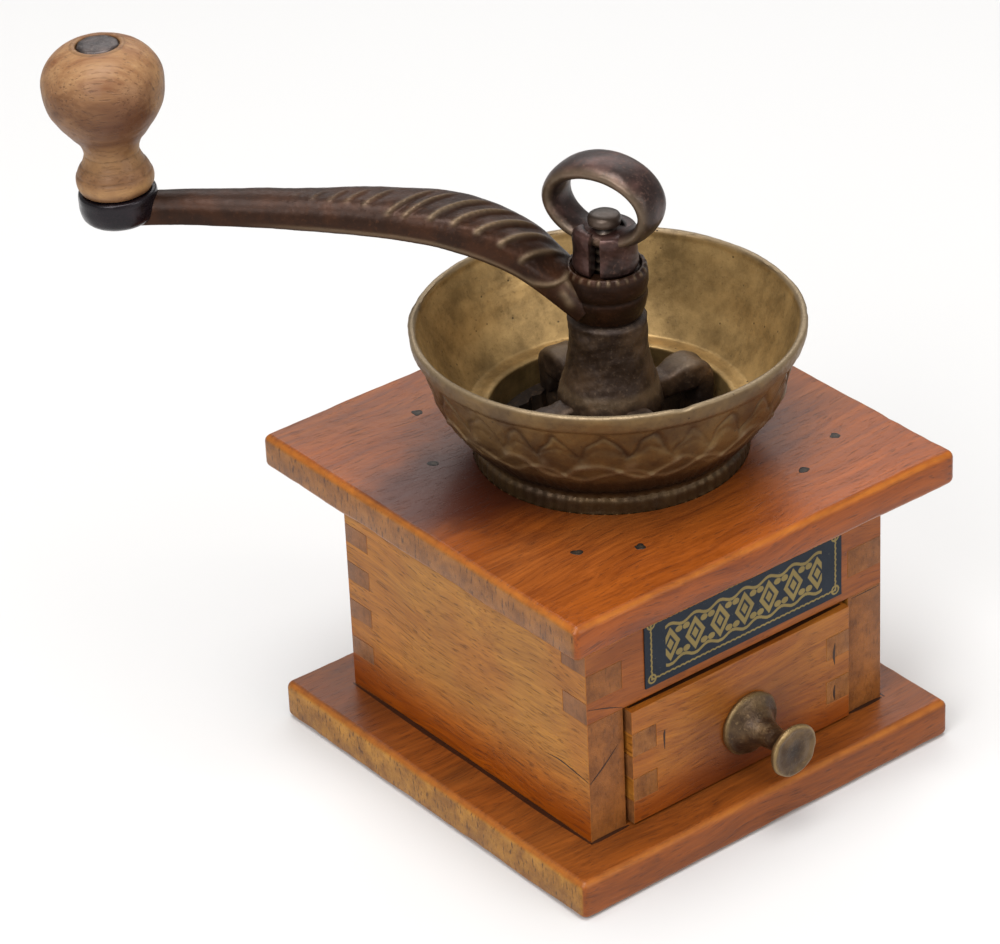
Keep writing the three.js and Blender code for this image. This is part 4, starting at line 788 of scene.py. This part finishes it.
# A flared column turned round the axis, and four arms: a squarish oval section carried
# along a path that leaves the column, swells to a thick rounded finger and turns down to
# the toothed ring. Section points are cos and sin to the power 0.42.
def makeBridge():
    column = softCurve([(2.5, 24.6), (2.6, 24.85), (6.1, 24.9), (6.55, 24.6), (6.63, 23.5), (6.66, 19.7),
            (7.0, 16.8), (7.57, 14.2), (8.36, 11.8), (8.8, 9.5), (8.75, 7.2), (8.4, 5.9), (7.4, 5.1),
            (5.4, 5.0), (2.8, 5.0), (2.5, 5.2)], 120)
    profile = np.vstack([column, [(2.5, 24.6)]])
    grid = turnedGrid(profile, 120).reshape(-1, 3)
    push = 0.14 * unevenness(grid, 5, 21) + 0.06 * unevenness(grid, 1.6, 22)
    radius = np.hypot(grid[:, 0], grid[:, 1])
    grid[:, :2] *= (1 + push * (radius > 5) / np.maximum(radius, 1))[:, None]
    allPoints, allFaces, start = [grid], gridFaces(120, len(profile), True, False), len(grid)
    out, up, half, thick = softCurve(armPath, 64).T
    slope = np.arctan2(np.gradient(up), np.gradient(out))
    turn = np.linspace(0, 2 * np.pi, 40, endpoint=False)
    side = np.sign(np.cos(turn)) * np.abs(np.cos(turn)) ** 0.42
    over = np.sign(np.sin(turn)) * np.abs(np.sin(turn)) ** 0.42
    arm = np.stack([out[:, None] - thick[:, None] * over * np.sin(slope)[:, None], half[:, None] * side,
                    up[:, None] + thick[:, None] * over * np.cos(slope)[:, None]], axis=-1)
    arm[..., 2] = np.maximum(arm[..., 2], 3.12)
    arm = np.concatenate([np.broadcast_to(arm[0].mean(axis=0), (1, 40, 3)), arm,
            np.broadcast_to(arm[-1].mean(axis=0), (1, 40, 3))])
    for k in range(bridge["arms"]):
        pts = spun(arm.reshape(-1, 3), bridge["angle"] + 90 * k)
        if k == 2:
            # this arm was cast lower
            pts[:, 2] -= 2.2 * softStep(np.hypot(pts[:, 0], pts[:, 1]), 9, 15) * softStep(pts[:, 2], 4, 9)
        pts = pts + (0.12 * unevenness(pts, 3.5, 23 + k) + 0.05 * unevenness(pts, 1.2, 27 + k))[:,
            None] * np.array([1, 1, 0.6])
        pts[:, 2] = np.maximum(pts[:, 2], 3.12)
        allPoints.append(pts)
        allFaces += gridFaces(arm.shape[0], 40, False, True, start)
        start += len(pts)
    points = np.vstack(allPoints)
    # the low parts down in the bowl's throat darker as painted shade, and a band round the column's flare
    # paler as a painted highlight
    hollow = 0.6 * (1 - softStep(points[:, 2], 4, 10))
    crest = 0.5 * softStep(points[:, 2], 10.4, 11.8) * (1 - softStep(points[:, 2], 12.2, 13.5))
    points = points + np.array([mill["x"], mill["y"], mill["foot"]])
    mesh = makeMesh("spindleBridgeCast", points, allFaces, {"crest": crest, "hollow": hollow}, 50)
    addPiece("spindleBridgeCast", mesh, bridgeIron, "case", ["spindle_bridge"])


makeBridge()

spindle = {"foot": 41.3, "top": 101.1, "pitch": 1.6, "threadDepth": 0.5}


# A round shaft whose threaded part is a helix: the radius falls by the thread depth as height /
# pitch - angle / 2 pi passes from crest to root, with a capped and slightly domed end.
def makeSpindle():
    z = np.concatenate([[41.3, 41.3, 42.0, 42.7], np.linspace(42.72, 90.1, 60),
            np.linspace(90.2, 99.0, 130), [99.1, 99.2, 99.35, 99.8, 100.3, 100.7, 100.95, 101.06, 101.1]])
    r = np.concatenate([[0, 3.2, 3.2, 3.2], np.full(60, 2.2), np.full(130, 2.1),
            [2.1, 2.62, 2.76, 2.8, 2.78, 2.62, 2.2, 1.3, 0]])
    steps = 64
    angle = np.linspace(0, 2 * np.pi, steps, endpoint=False)[:, None]
    phase = (z[None, :] / spindle["pitch"] - angle / (2 * np.pi)) % 1
    thread = (np.abs(phase * 2 - 1) ** 1.3) * spindle["threadDepth"] * ((z > 90.2) & (z < 99.0))[None, :]
    radius = r[None, :] - thread
    x, y = radius * np.cos(angle), radius * np.sin(angle)
    points = np.stack([mill["x"] + x, mill["y"] + y, np.broadcast_to(z, x.shape)], axis=-1).reshape(-1, 3)
    # the thread's crests and the head paler, partly bare steel and partly painted highlight; the thread's
    # roots darker as painted shade
    share = thread / spindle["threadDepth"]
    marks = {"crest": (0.8 * (1 - share) ** 2 * (z > 90.2)[None, :] * (z < 99.0)[None, :]
            + 0.25 * (z > 99.0)[None, :]).ravel(), "hollow": (0.9 * share).ravel()}
    mesh = makeMesh("spindleThreaded", points, gridFaces(steps, len(z), True, False), marks, 60)
    addPiece("spindleThreaded", mesh, shaftSteel, "shaft", ["spindle"])


makeSpindle()

nut = {"angle": 201.0, "slotTurn": 9.5, "foot": 91.4, "slot": 2.0, "eye": 12.0, "eyeRadius": 10.4,
    "eyeRise": 7.9, "band": 4.4, "thickness": 3.3}


# The collar is a profile carried from one side of the slot round to the other. The eye
# is a band carried round an oval, thick and broad over the top; its section is cos and
# sin to the power 0.9, the band's outside lying on the oval.
def makeNut():
    outer = softCurve([(2.5, 0.0), (5.0, 0), (5.35, 0.2), (5.5, 0.9), (5.4, 2.2), (5.33, 3.4), (5.4, 4.6),
            (5.5, 5.6), (5.45, 6.5), (5.2, 7.0), (4.7, 7.2), (3.5, 7.2), (3.3, 7.1), (3.3, 6.4),
            (3.2, 6.2), (2.5, 6.2), (2.4, 6.1)], 90)
    profile = np.vstack([outer, [(2.4, 0.1), (2.5, 0.0)]])
    steps = 110
    r, h = profile[:-1].T
    gap = np.arcsin(np.clip(nut["slot"] / 2 / np.maximum(r, 1), 0, 0.9))
    share = np.linspace(0, 1, steps)[:, None]
    angle = gap[None, :] + (2 * np.pi - 2 * gap[None, :]) * share
    angle = angle + math.radians(nut["slotTurn"])
    collar = np.stack([r * np.cos(angle), r * np.sin(angle), np.broadcast_to(h, angle.shape)], axis=-1)
    count = len(r)
    faces = gridFaces(steps, count, False, True) + [list(range(count)),
        list(range((steps - 1) * count, steps * count))]
    turn = np.linspace(0, 2 * np.pi, 140, endpoint=False)[:, None]
    ring = np.linspace(0, 2 * np.pi, 44, endpoint=False)[None, :]
    lift = (1 + np.sin(turn)) / 2
    thick = nut["thickness"] / 2 * (0.8 + 0.2 * lift)
    broad = nut["band"] * (0.75 + 0.25 * lift)
    inward = thick * (1 - np.sign(np.cos(ring)) * np.abs(np.cos(ring)) ** 0.85)
    aside = broad * np.sign(np.sin(ring)) * np.abs(np.sin(ring)) ** 0.9
    eye = np.stack([aside, (nut["eyeRadius"] - inward) * np.cos(turn),
            nut["eye"] + (nut["eyeRise"] - inward) * np.sin(turn)], axis=-1)
    faces += gridFaces(140, 44, True, True, steps * count)
    points = np.vstack([collar.reshape(-1, 3), eye.reshape(-1, 3)])
    points = points + (0.06 * unevenness(points, 4, 31) + 0.02 * unevenness(points, 1.3, 32))[:,
        None] * np.array([1, 1, 0.6]) * (points[:, 2:] > 0.5)
    # the eye band's edges paler, partly rubbed and partly painted highlights; the seat inside the collar's
    # top, under the spindle's head, darker as painted shade
    crest = np.concatenate(
        [np.zeros(steps * count), (0.75 * np.abs(np.sin(ring)) ** 6 * np.ones_like(inward)).ravel()])
    seat = np.concatenate([np.tile(((r < 3.6) & (h > 5)) * 0.7, steps), np.zeros(eye.size // 3)])
    points = spun(points, nut["angle"]) + np.array([mill["x"], mill["y"], nut["foot"]])
    mesh = makeMesh("ringNutCast", points, faces, {"crest": crest, "hollow": seat}, 50)
    addPiece("ringNutCast", mesh, nutIron, "nut", ["ring_nut"])


makeNut()
print("mill: bridge, spindle and nut made")


# Crank

crank = {"angle": 137.4, "length": 80.0, "low": 82.6, "beads": 26, "lean": 2.3, "bossTop": 106.0}
# run, height, width, thickness along the arm in mm
armTable = np.array([(3.2, 85.5, 12.4, 4.4), (8, 90.45, 13.0, 5.0), (12.8, 95.0, 13.5, 5.9),
        (19.2, 98.65, 13.6, 6.4), (25.6, 100.75, 12.8, 6.5), (32, 101.75, 11.4, 6.2),
        (40, 102.3, 10.2, 5.8), (48, 102.55, 8.7, 5.3), (58.4, 102.85, 7.8, 4.8), (70, 102.95, 6.5, 4.65),
        (80, 102.55, 6.2, 4.5)])
# run and place across (mm from the far edge) of each flute's
# rounded outer end, slant of its crest, depth
fluteTable = np.array([(13.4, 16.2, 0.5, 0.75), (17.0, 15.6, 0.7, 0.95), (20.8, 15.1, 0.9, 0.95),
        (24.5, 14.4, 1.0, 0.9), (28.1, 13.7, 1.12, 0.8), (32.2, 13.0, 1.12, 0.66),
        (35.0, 12.6, 1.15, 0.5), (38.8, 10.6, 1.15, 0.45), (41.8, 9.6, 1.15, 0.42),
        (44.6, 9.0, 1.15, 0.36), (47.4, 8.2, 1.15, 0.3), (50.4, 7.4, 1.15, 0.2)])


# A soft curve through the arm's table, read back at the run.
def alongArm(column, run):
    curve = softCurve(armTable[:, [0, column]], 400)
    return np.interp(run, curve[:, 0], curve[:, 1])


# Each flute's crest is the curve run = end - slant (sqrt(u^2 + 0.8^2) - 0.8), u being mm
# inwards from its outer end; on the hub side of it the hollow drops within 1.1 mm and rises
# again over 3.8 mm. Gives the deepest hollow and the crests' beads.
def fluteDepths(run, across):
    depth, bead = np.zeros_like(run * across), np.zeros_like(run * across)
    for end, near, slant, deep in fluteTable:
        inwards = near - across
        crest = end - slant * (np.sqrt(np.clip(inwards, 0, None) ** 2 + 0.64) - 0.8)
        behind = (crest - run) / math.hypot(1, slant) * 1.25
        farEnd = softStep(across, 4.8, 8.6)
        hollow = softStep(behind, -0.25, 1.1) * np.clip(1 - behind / 3.9, 0, 1) ** 1.2
        depth = np.maximum(depth,
            deep * hollow * softStep(inwards, -0.6, 1.6) * (0.15 + 0.85 * farEnd) * softStep(across, 2.5,
                5))
        bead = np.maximum(bead,
            deep * np.exp(-((behind + 0.15) / 0.46) ** 2) * softStep(inwards, -0.7, 0.6) * farEnd)
    return depth, bead


# A crowned section carried along the S-line: height -0.42 + 0.92 sin^0.62 of
# the thickness above, and -0.42 - 0.08 sin^0.3 below. Flutes, spoon and edge
# bead move its points along the surface's own normal.
def armSurface():
    run = np.concatenate([np.linspace(3.2, 54, 470), np.linspace(54.3, 80, 60)])
    height, width, thick = (alongArm(c, run)[:, None] for c in (1, 2, 3))
    slope = np.arctan(np.gradient(height[:, 0], run))[:, None]
    top = np.pi * (0.5 - 0.5 * np.cos(np.linspace(0, np.pi, 116)))
    ring = np.concatenate([top, np.linspace(np.pi, 2 * np.pi, 24)[1:-1]])[None, :]
    sine = np.abs(np.sin(ring))
    isTop = np.sin(ring) > -1e-6
    up = np.where(isTop, 0.92 * sine ** 0.62 - 0.42, -0.42 - 0.08 * sine ** 0.3) * thick
    arm = np.stack([run[:, None] - up * np.sin(slope), -width / 2 * np.cos(ring),
            height + up * np.cos(slope)], axis=-1)
    outwards = np.cross(np.gradient(arm, axis=0), np.gradient(arm, axis=1))
    outwards /= np.linalg.norm(outwards, axis=2, keepdims=True) + 1e-9
    outwards *= np.sign((outwards * (arm - arm.mean(axis=1, keepdims=True))).sum(axis=2, keepdims=True))
    topCount = len(top)
    across = np.concatenate(
        [np.zeros((len(run), 1)),
            np.cumsum(np.linalg.norm(np.diff(arm[:, :topCount], axis=1), axis=2), axis=1)],
        axis=1) - 0.28 * thick
    across = np.concatenate(
        [across, np.broadcast_to(across[:, -1:] + 3, (len(run), ring.size - topCount))], axis=1)
    whole = across[:, topCount - 1:topCount]
    depth, bead = fluteDepths(run[:, None], across)
    spoonAt = np.hypot((run[:, None] - 10.4 - 0.22 * (across - 12.6)) / 2.3, (across - 12.6) / 4.3)
    spoon = (1 - softStep(spoonAt, 0.1, 1.05)) * isTop
    spoonRim = (np.exp(-((spoonAt - 1.14) / 0.14) ** 2) * isTop * softStep(12 - run[:, None], 0, 2.5)
                * softStep(across, 9.5, 12))
    lumps = sum(np.exp(-((run[:, None] - a) ** 2 + (across - b) ** 2) / 0.45)
                for a, b in ((6.6, 14.6), (5.5, 14.9), (7.0, 12.6), (5.6, 12.4)))
    edgeBead = (np.exp(-((across - whole + 0.3) / 0.35) ** 2) * (1 - softStep(run[:, None], 46, 62))
                * softStep(run[:, None], 8, 13) * isTop)
    notches = (0.03 + 0.07 * softStep(run[:, None], 15, 24)) * bead * np.cos(across * 2 * np.pi / 0.8)
    cast = 0.015 * unevenness(arm, 2.2, 41) + 0.06 * unevenness(arm, 9, 42) + 0.012 * unevenness(arm, 0.9, 44)
    push = (-0.95 * depth * isTop + 0.22 * bead * isTop + notches - 0.42 * spoon + 0.3 * spoonRim
            + 0.22 * lumps + 0.16 * edgeBead + cast)
    arm = arm + outwards * push[..., None]
    # the flutes' beads, the spoon's rim, the lumps and the edge bead paler, partly bare metal and partly
    # painted highlights; the flutes' hollows and the spoon darker as painted shade, and the arm darker from
    # 38 mm out along it
    crest = np.clip(1.0 * bead * isTop + 0.8 * spoonRim + 0.7 * lumps + 0.6 * edgeBead, 0, 1)
    hollow = np.clip(0.12 * spoon + 0.6 * depth * isTop + 0.2 * softStep(run[:, None], 38, 50), 0, 1)
    ends = [np.broadcast_to(row.mean(axis=0), (1, ring.size, 3)) for row in (arm[0], arm[-1])]
    arm = np.concatenate([ends[0], arm, ends[1]])
    pad = lambda grid: np.pad(grid, ((1, 1), (0, 0)))
    return arm, pad(crest), pad(hollow)


# The fluted arm and its hub, a turned profile with a groove round the middle and small beads
# on its upper rim: radius and height gain cos(26 a) inside the rim's band.
def makeCrank():
    arm, armCrest, armHollow = armSurface()
    faces = gridFaces(arm.shape[0], arm.shape[1], False, True)
    start = arm.size // 3
    edge = softCurve([(3.1, 0.0), (5.4, 0.0), (5.9, 0.2), (6.25, 1.0), (6.6, 2.4), (6.8, 3.4),
            (6.82, 4.1), (6.74, 4.5), (6.72, 4.8), (6.86, 5.2), (6.97, 5.8), (7.0, 6.6), (6.98, 7.8),
            (6.85, 8.5), (6.6, 9.0), (6.3, 9.18), (6.0, 9.15), (5.9, 8.95), (5.85, 8.5), (3.1, 8.5)], 130)
    profile = np.vstack([edge, [(3.1, 0.0)]])
    hub = turnedGrid(profile, 300)
    angle = np.linspace(0, 2 * np.pi, 300, endpoint=False)[:, None]
    dots = np.clip(np.cos(angle * crank["beads"] + 0.4), -0.2, 1) * (0.75 + 0.25 * np.sin(5 * angle))
    band = np.exp(-((profile[:, 1] - 8.75) / 0.42) ** 2) * (profile[:, 0] > 6.0)
    hub[..., :2] *= (1 + 0.16 * dots * band / np.maximum(profile[:, 0], 1))[..., None]
    hub[..., 2] += 0.1 * dots * band - 0.08 * band
    hub = hub.reshape(-1, 3) + np.array([0, 0, crank["low"]])
    hub = hub + (0.05 * unevenness(hub, 2.5, 43))[:, None] * np.array([1, 1, 0])
    # the beads on the rim paler as painted highlights; the hub's side darker, most in its groove, as painted
    # shade
    hubCrest = (np.clip(dots, 0, 1) * band).ravel() * 0.8
    hubHollow = np.tile((0.5 * np.exp(-((profile[:, 1] - 4.65) / 0.3) ** 2)
            + 0.35) * (profile[:, 0] > 6.0) * (profile[:, 1] < 8.2), 300)
    faces += gridFaces(300, len(profile), True, False, start)
    points = spun(np.vstack([arm.reshape(-1, 3), hub]), crank["angle"]) + np.array([mill["x"], mill["y"], 0])
    marks = {"crest": np.concatenate([armCrest.ravel(), hubCrest]),
        "hollow": np.concatenate([armHollow.ravel(), hubHollow])}
    mesh = makeMesh("crankFluted", points, faces, marks, 60)
    addPiece("crankFluted", mesh, crankIron, "crank", ["crank_arm"])


# Points drawn about Z, with the boss's top at 0: leant outwards by the
# lean angle, moved to the arm's end, turned with the arm.
def atArmEnd(points):
    lean = math.radians(crank["lean"])
    x, y, z = points.T
    leant = np.column_stack([x * math.cos(lean) + z * math.sin(lean) + crank["length"], y,
            z * math.cos(lean) - x * math.sin(lean) + crank["bossTop"]])
    return spun(leant, crank["angle"]) + np.array([mill["x"], mill["y"], 0])


# The disc at the arm's end, turned about the knob's leaning axis, with a seat for the rivet below.
def makeBoss():
    edge = softCurve([(2.9, -5.6), (3.8, -5.6), (5.1, -5.35), (6.1, -4.5), (6.5, -3.2), (6.56, -1.6),
            (6.52, -0.6), (6.4, -0.2), (6.1, -0.02), (5.0, 0.0), (1.65, 0.0)], 100)
    profile = np.vstack([[(1.65, -4.5), (2.85, -4.5), (2.85, -5.5)], edge, [(1.65, -4.5)]])
    points = turnedGrid(profile, 96).reshape(-1, 3)
    points[:, :2] *= (1 + 0.006 * unevenness(points, 4, 45))[:, None]
    blank = np.zeros(len(points))
    mesh = makeMesh("crankBoss", atArmEnd(points), gridFaces(96, len(profile), True, False),
        {"crest": blank, "hollow": blank}, 50)
    addPiece("crankBoss", mesh, bossIron, "crank", ())


makeCrank()
makeBoss()

grip = {"low": 0.3, "height": 26.0, "radius": 10.1}
# radius and height of the knob, as shares of its widest radius and its height
gripRows = np.array([(0.58, 0), (0.622, 0.03), (0.632, 0.09), (0.575, 0.15), (0.49, 0.21), (0.458, 0.265),
        (0.5, 0.33), (0.635, 0.4), (0.83, 0.5), (0.95, 0.59), (1, 0.69), (0.985, 0.78), (0.88, 0.87),
        (0.72, 0.935), (0.5, 0.982), (0.4, 0.997), (0.367, 0.992), (0.361, 0.97)])


# The knob's profile turned round its leaning rivet, with faint tool rings at the
# neck and flats worn by use: radius = profile - rings + unevenness.
def makeGrip():
    edge = softCurve(gripRows * np.array([grip["radius"], grip["height"]]), 190)
    profile = np.vstack([[(1.8, 0.0)], edge, [(3.65, 24.8), (1.8, 24.8), (1.8, 0.0)]])
    r, h = profile.T
    rings = sum(0.09 * np.exp(-((h - at) / 0.2) ** 2) for at in (3.1, 4.7, 6.6)) * (r > 4.2)
    grid = turnedGrid(np.column_stack([r - rings, h]), 160)
    flats = 0.1 * unevenness(grid, 9, 51) + 0.03 * unevenness(grid, 2.5, 52)
    grid[..., :2] *= (1 + flats * (r > 4.2)[None, :] / np.maximum(r, 1)[None, :])[..., None]
    points = atArmEnd(grid.reshape(-1, 3) + np.array([0, 0, grip["low"]]))
    # paler at the foot's bead and round the neck, and darker in the tool rings and at the top round the rivet
    edgeMark = np.tile(0.9 * np.exp(-((h - 1.6) / 1.0) ** 2) * (r > 5)
        + 0.6 * np.exp(-((h - 6.6) / 2.4) ** 2) * (r > 4.2), 160)
    grimeAndShade = np.tile(0.35 * np.exp(-((h - 25.7) / 0.4) ** 2) * (r < 4.6) + 2.0 * rings, 160)
    mesh = makeMesh("turnedKnob", points, gridFaces(160, len(profile), True, False),
        {"edge": edgeMark, "grimeAndShade": np.clip(grimeAndShade, 0, 0.6)}, 50)
    addPiece("turnedKnob", mesh, turnedWood, "knob", ["crank_knob"])
    head = softCurve([(0, -5.6), (2.4, -5.6), (2.65, -5.4), (2.65, -4.7), (1.5, -4.6), (1.5, 25.3),
            (1.6, 25.42), (3.3, 25.45), (3.52, 25.7), (3.35, 26.08), (2.6, 26.33), (1.4, 26.42),
            (0, 26.44)], 140)
    points = turnedGrid(head, 64).reshape(-1, 3)
    points[:, 2] += 0.05 * unevenness(points, 1.6, 53) * (points[:, 2] > 26)
    points[:, :2] *= (1 + 0.035 * unevenness(points, 2.4, 54) * (points[:, 2] > 25.5))[:, None]
    blank = np.zeros(len(points))
    mesh = makeMesh("knobRivetDomed", atArmEnd(points), gridFaces(64, 140, True, False),
        {"crest": blank, "hollow": blank}, 50)
    addPiece("knobRivetDomed", mesh, rivetSteel, "crank", ["knob_rivet"])


makeGrip()
print("mill: crank and knob made")


# Nails, and finishes on the carried-over solids

# Each top nail's head is a small battered disc a hair above the
# varnish: radius times 1 + 0.3 unevenness, dark at its rim, with a painted glint off its centre.
def makeNailHeads():
    for i in range(1, 9):
        low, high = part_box(f"top_nail_{i}")
        x, y = (low[0] + high[0]) * 500, (low[1] + high[1]) * 500
        profile = softCurve([(0, -3.0), (0.6, -3.0), (0.62, -0.8), (0.8, -0.4), (0.92, -0.02),
                (0.86, 0.02), (0.6, 0.03), (0.3, 0.02), (0, 0.02)], 40)
        points = turnedGrid(profile, 32).reshape(-1, 3)
        away = np.hypot(points[:, 0], points[:, 1])
        battered = 0.3 * unevenness(points * np.array([1, 1, 0]) + i * 7, 1.5, 60 + i) * (points[:, 2] > -0.6)
        points[:, :2] *= (1 + np.clip(battered, -0.45, 0.3))[:, None]
        paintedGlint = 0.9 * np.exp(-((points[:, 0] - 0.2) ** 2 + (points[:, 1] + 0.2) ** 2) / 0.14)
        marks = {"crest": paintedGlint, "hollow": 0.85 + 0.15 * softStep(away, 0.3, 0.7)}
        points = points + np.array([x, y, mill["foot"]])
        mesh = makeMesh(f"topNailHead{i}", points, gridFaces(32, 40, True, False), marks, 50)
        addPiece(f"topNailHead{i}", mesh, nailIron, "case", [f"top_nail_{i}"])


# Splits and slits in the wood, and lines of painted shade, as thin dark slivers 0.03 mm proud of it: along
# each line of (x, y, z, width) rows the half width runs out to nothing at both ends; a sliver is a ring
# of points in front and one behind, face being the outward axis.
def makeSlivers(name, lines, body, face):
    points, faces = [], []
    for rows in lines:
        path = softCurve(rows, 14)
        along = np.gradient(path[:, :3], axis=0)
        aside = np.cross(along, face)
        aside /= np.linalg.norm(aside, axis=1)[:, None]
        half = (path[:, 3] / 2 * np.sin(np.linspace(0.12, np.pi - 0.12, 14)) ** 0.6)[:, None]
        ring = np.vstack([path[:, :3] + aside * half, (path[:, :3] - aside * half)[::-1]])
        start, count = len(points) * 56, len(ring)
        points.append(np.vstack([ring + 0.03 * np.array(face), ring - 0.3 * np.array(face)]))
        faces += [list(range(start, start + count)), list(range(start + count, start + 2 * count))]
        faces += [[start + a, start + (a + 1) % count, start + count + (a + 1) % count,
                start + count + a] for a in range(count)]
    blank = np.zeros(sum(len(p) for p in points))
    mesh = makeMesh(name, np.vstack(points), faces, {"edge": blank, "grimeAndShade": blank + 0.92}, 30)
    addPiece(name, mesh, railWood, body, ())


left, front, pull = -32.0, -32.4, drawer["front"]
makeSlivers("caseSideSplit",
    [[(left, -20.9, 19.6, 0.1), (left, -24.8, 20.0, 0.25), (left, -28.7, 19.6, 0.25),
        (left, -32.2, 19.1, 0.3)]], "case", (-1, 0, 0))
makeSlivers("casePostSplits",
    [[(-31.8, front, 18.8, 0.3), (-28.6, front, 21.3, 0.3), (-25.7, front, 24.0, 0.15)],
        [(26.2, front, 30.1, 0.15), (32.6, front, 30.15, 0.2)],
        [(-31.8, front, 33.4, 0.12), (-28, front, 32.2, 0.2), (-24.2, front, 30.7, 0.12)]], "case",
    (0, -1, 0))
# a dark line of painted shade on the base board along the foot of the case
makeSlivers("caseFootPaintedShade",
    [[(-32.4, 32.4, 7.3, 0.9), (-32.45, 14, 7.3, 1.2), (-32.4, -4, 7.3, 0.8), (-32.5, -20, 7.3, 1.3),
        (-32.3, -33.0, 7.3, 1.0)],
        [(-32.4, -32.8, 7.3, 1.1), (-28, -32.75, 7.3, 0.8), (-24.2, -32.8, 7.3, 0.9)],
        [(25, -32.8, 7.3, 0.8), (32.9, -32.8, 7.3, 1.0)],
        [(33.4, -33, 7.3, 0.9), (33.4, 0, 7.3, 1.1), (33.4, 32, 7.3, 0.8)]], "case",
    (0, 0, 1))
makeSlivers("drawerSlits",
    [[(-16.7, pull, 19.6, 0.3), (-16.75, pull, 21.5, 0.42), (-16.6, pull, 23.4, 0.3)],
        [(21.3, pull, 19.5, 0.3), (21.1, pull, 21.4, 0.55), (21.4, pull, 23.8, 0.35)],
        [(21.3, pull, 12.3, 0.25), (21.1, pull, 13.8, 0.5), (21.3, pull, 15.4, 0.25)]], "drawer",
    (0, -1, 0))
# painted shade on the drawer front's top face, in the gap under the front rail
makeSlivers("drawerTopGapShade",
    [[(-23.0, -32.0, 29.85, 1.3), (-8, -32.05, 29.85, 1.0), (8, -31.95, 29.85, 1.4),
        (24.0, -32.0, 29.85, 1.5)]], "drawer", (0, 0, 1))
makeNailHeads()

kept = {"drawer_back": drawerSideWood, "drawer_bottom": drawerWood, "drawer_screw": nailIron,
    "outer_burr": burrIron, "grinding_cone": burrIron, "cone_pin": shaftSteel}
kept.update({f"bridge_screw_{i}": shaftSteel for i in range(1, 5)})
kept.update({f"base_nail_{i}": nailIron for i in range(1, 7)})
for nodeName, material in kept.items():
    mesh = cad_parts[nodeName].data
    mesh.materials.clear()
    mesh.materials.append(material)
print("mill: finishes set on", len(kept), "kept nodes")


# Studio

studio = {"floorHalf": 4.0, "camera": (-0.4171, -0.5163, 0.4488), "lens": 164.67,
    "right": (0.7793, -0.6254, -0.04), "up": (0.348, 0.3788, 0.8576),
    "forward": (0.5212, 0.6822, -0.5128)}


# A plain pale sheet on the ground, a little brighter to the camera and in
# reflections, so that it reads as white and keeps the mill's shadow.
def makeFloor():
    material, tree, shader = startFinish("matteWhiteStudioSheet", roughness=0.9)
    rays = addNode(tree, "LightPath")
    seen = addNode(tree, "Math", {"operation": "MAXIMUM"},
        {0: rays.outputs["Is Camera Ray"], 1: rays.outputs["Is Glossy Ray"]}).outputs[0]
    shader.inputs["Base Color"].default_value = hexColour("#CDCCCB")
    shader.inputs["Emission Color"].default_value = (1, 1, 1, 1)
    tree.links.new(addNode(tree, "Math", {"operation": "MULTIPLY"}, {0: seen, 1: 0.04}).outputs[0],
        shader.inputs["Emission Strength"])
    s = studio["floorHalf"] * 1000
    x, y = np.meshgrid(np.linspace(-s, s, 9), np.linspace(-s, s, 9), indexing="ij")
    points = np.stack([x, y, np.zeros_like(x)], axis=-1).reshape(-1, 3)
    mesh = makeMesh("studioFloor", points, gridFaces(9, 9, False, False), merge=False)
    floor = bpy.data.objects.new("studioFloor", mesh)
    bpy.context.scene.collection.objects.link(floor)
    mesh.materials.append(material)


# A pale sky and soft round lamps, each turned to its aim; the last number is the lamp's shine.
def makeLights():
    world = bpy.data.worlds.new("studioSky")
    bpy.context.scene.world = world
    world.use_nodes = True
    tree = world.node_tree
    back = tree.nodes["Background"]
    rays = addNode(tree, "LightPath")
    seen = addNode(tree, "Math", {"operation": "MAXIMUM"},
        {0: rays.outputs["Is Camera Ray"], 1: rays.outputs["Is Transmission Ray"]}).outputs[0]
    back.inputs["Color"].default_value = (1, 1, 1, 1)
    tree.links.new(addNode(tree, "MapRange", {},
            {"Value": seen, "To Min": 0.38, "To Max": 1.0}).outputs[0], back.inputs["Strength"])
    for name, place, aim, size, watts, shine in (("softboxAbove", (-0.15, -0.1, 1.15), (0, 0, 0.06), 0.8,
            13.0, 1.0), ("keyWindow", (-0.8, -0.35, 0.7), (0, 0, 0.06), 0.55, 5.6, 1.0),
        ("frontFill", (0.3, -1.1, 0.55), (0, 0, 0.05), 0.7, 4.0, 0.7),
        ("backRim", (0.5, 0.9, 0.9), (0, 0, 0.06), 0.6, 2.4, 0.32),
        ("sideRim", (0.9, 0.6, 0.78), (0, 0, 0.06), 0.6, 1.7, 0.5)):
        lamp = bpy.data.lights.new(name, "AREA")
        lamp.shape, lamp.size, lamp.energy, lamp.specular_factor = "DISK", size, watts, shine
        holder = bpy.data.objects.new(name, lamp)
        bpy.context.scene.collection.objects.link(holder)
        holder.location = place
        holder.rotation_euler = (Vector(aim) - Vector(place)).to_track_quat("-Z", "Y").to_euler()


# The photo's own camera: its place and the directions of its right, up and forward.
def makeCamera():
    camera = bpy.data.cameras.new("photoCamera")
    camera.sensor_width, camera.lens = 36, studio["lens"]
    camera.clip_start, camera.clip_end = 0.01, 20
    holder = bpy.data.objects.new("photoCamera", camera)
    bpy.context.scene.collection.objects.link(holder)
    axes = Matrix((studio["right"], studio["up"], [-v for v in studio["forward"]])).transposed().to_4x4()
    axes.translation = studio["camera"]
    holder.matrix_world = axes
    bpy.context.scene.camera = holder


makeFloor()
makeLights()
makeCamera()
bpy.context.scene.view_settings.view_transform = "Standard"
print("mill: studio made")
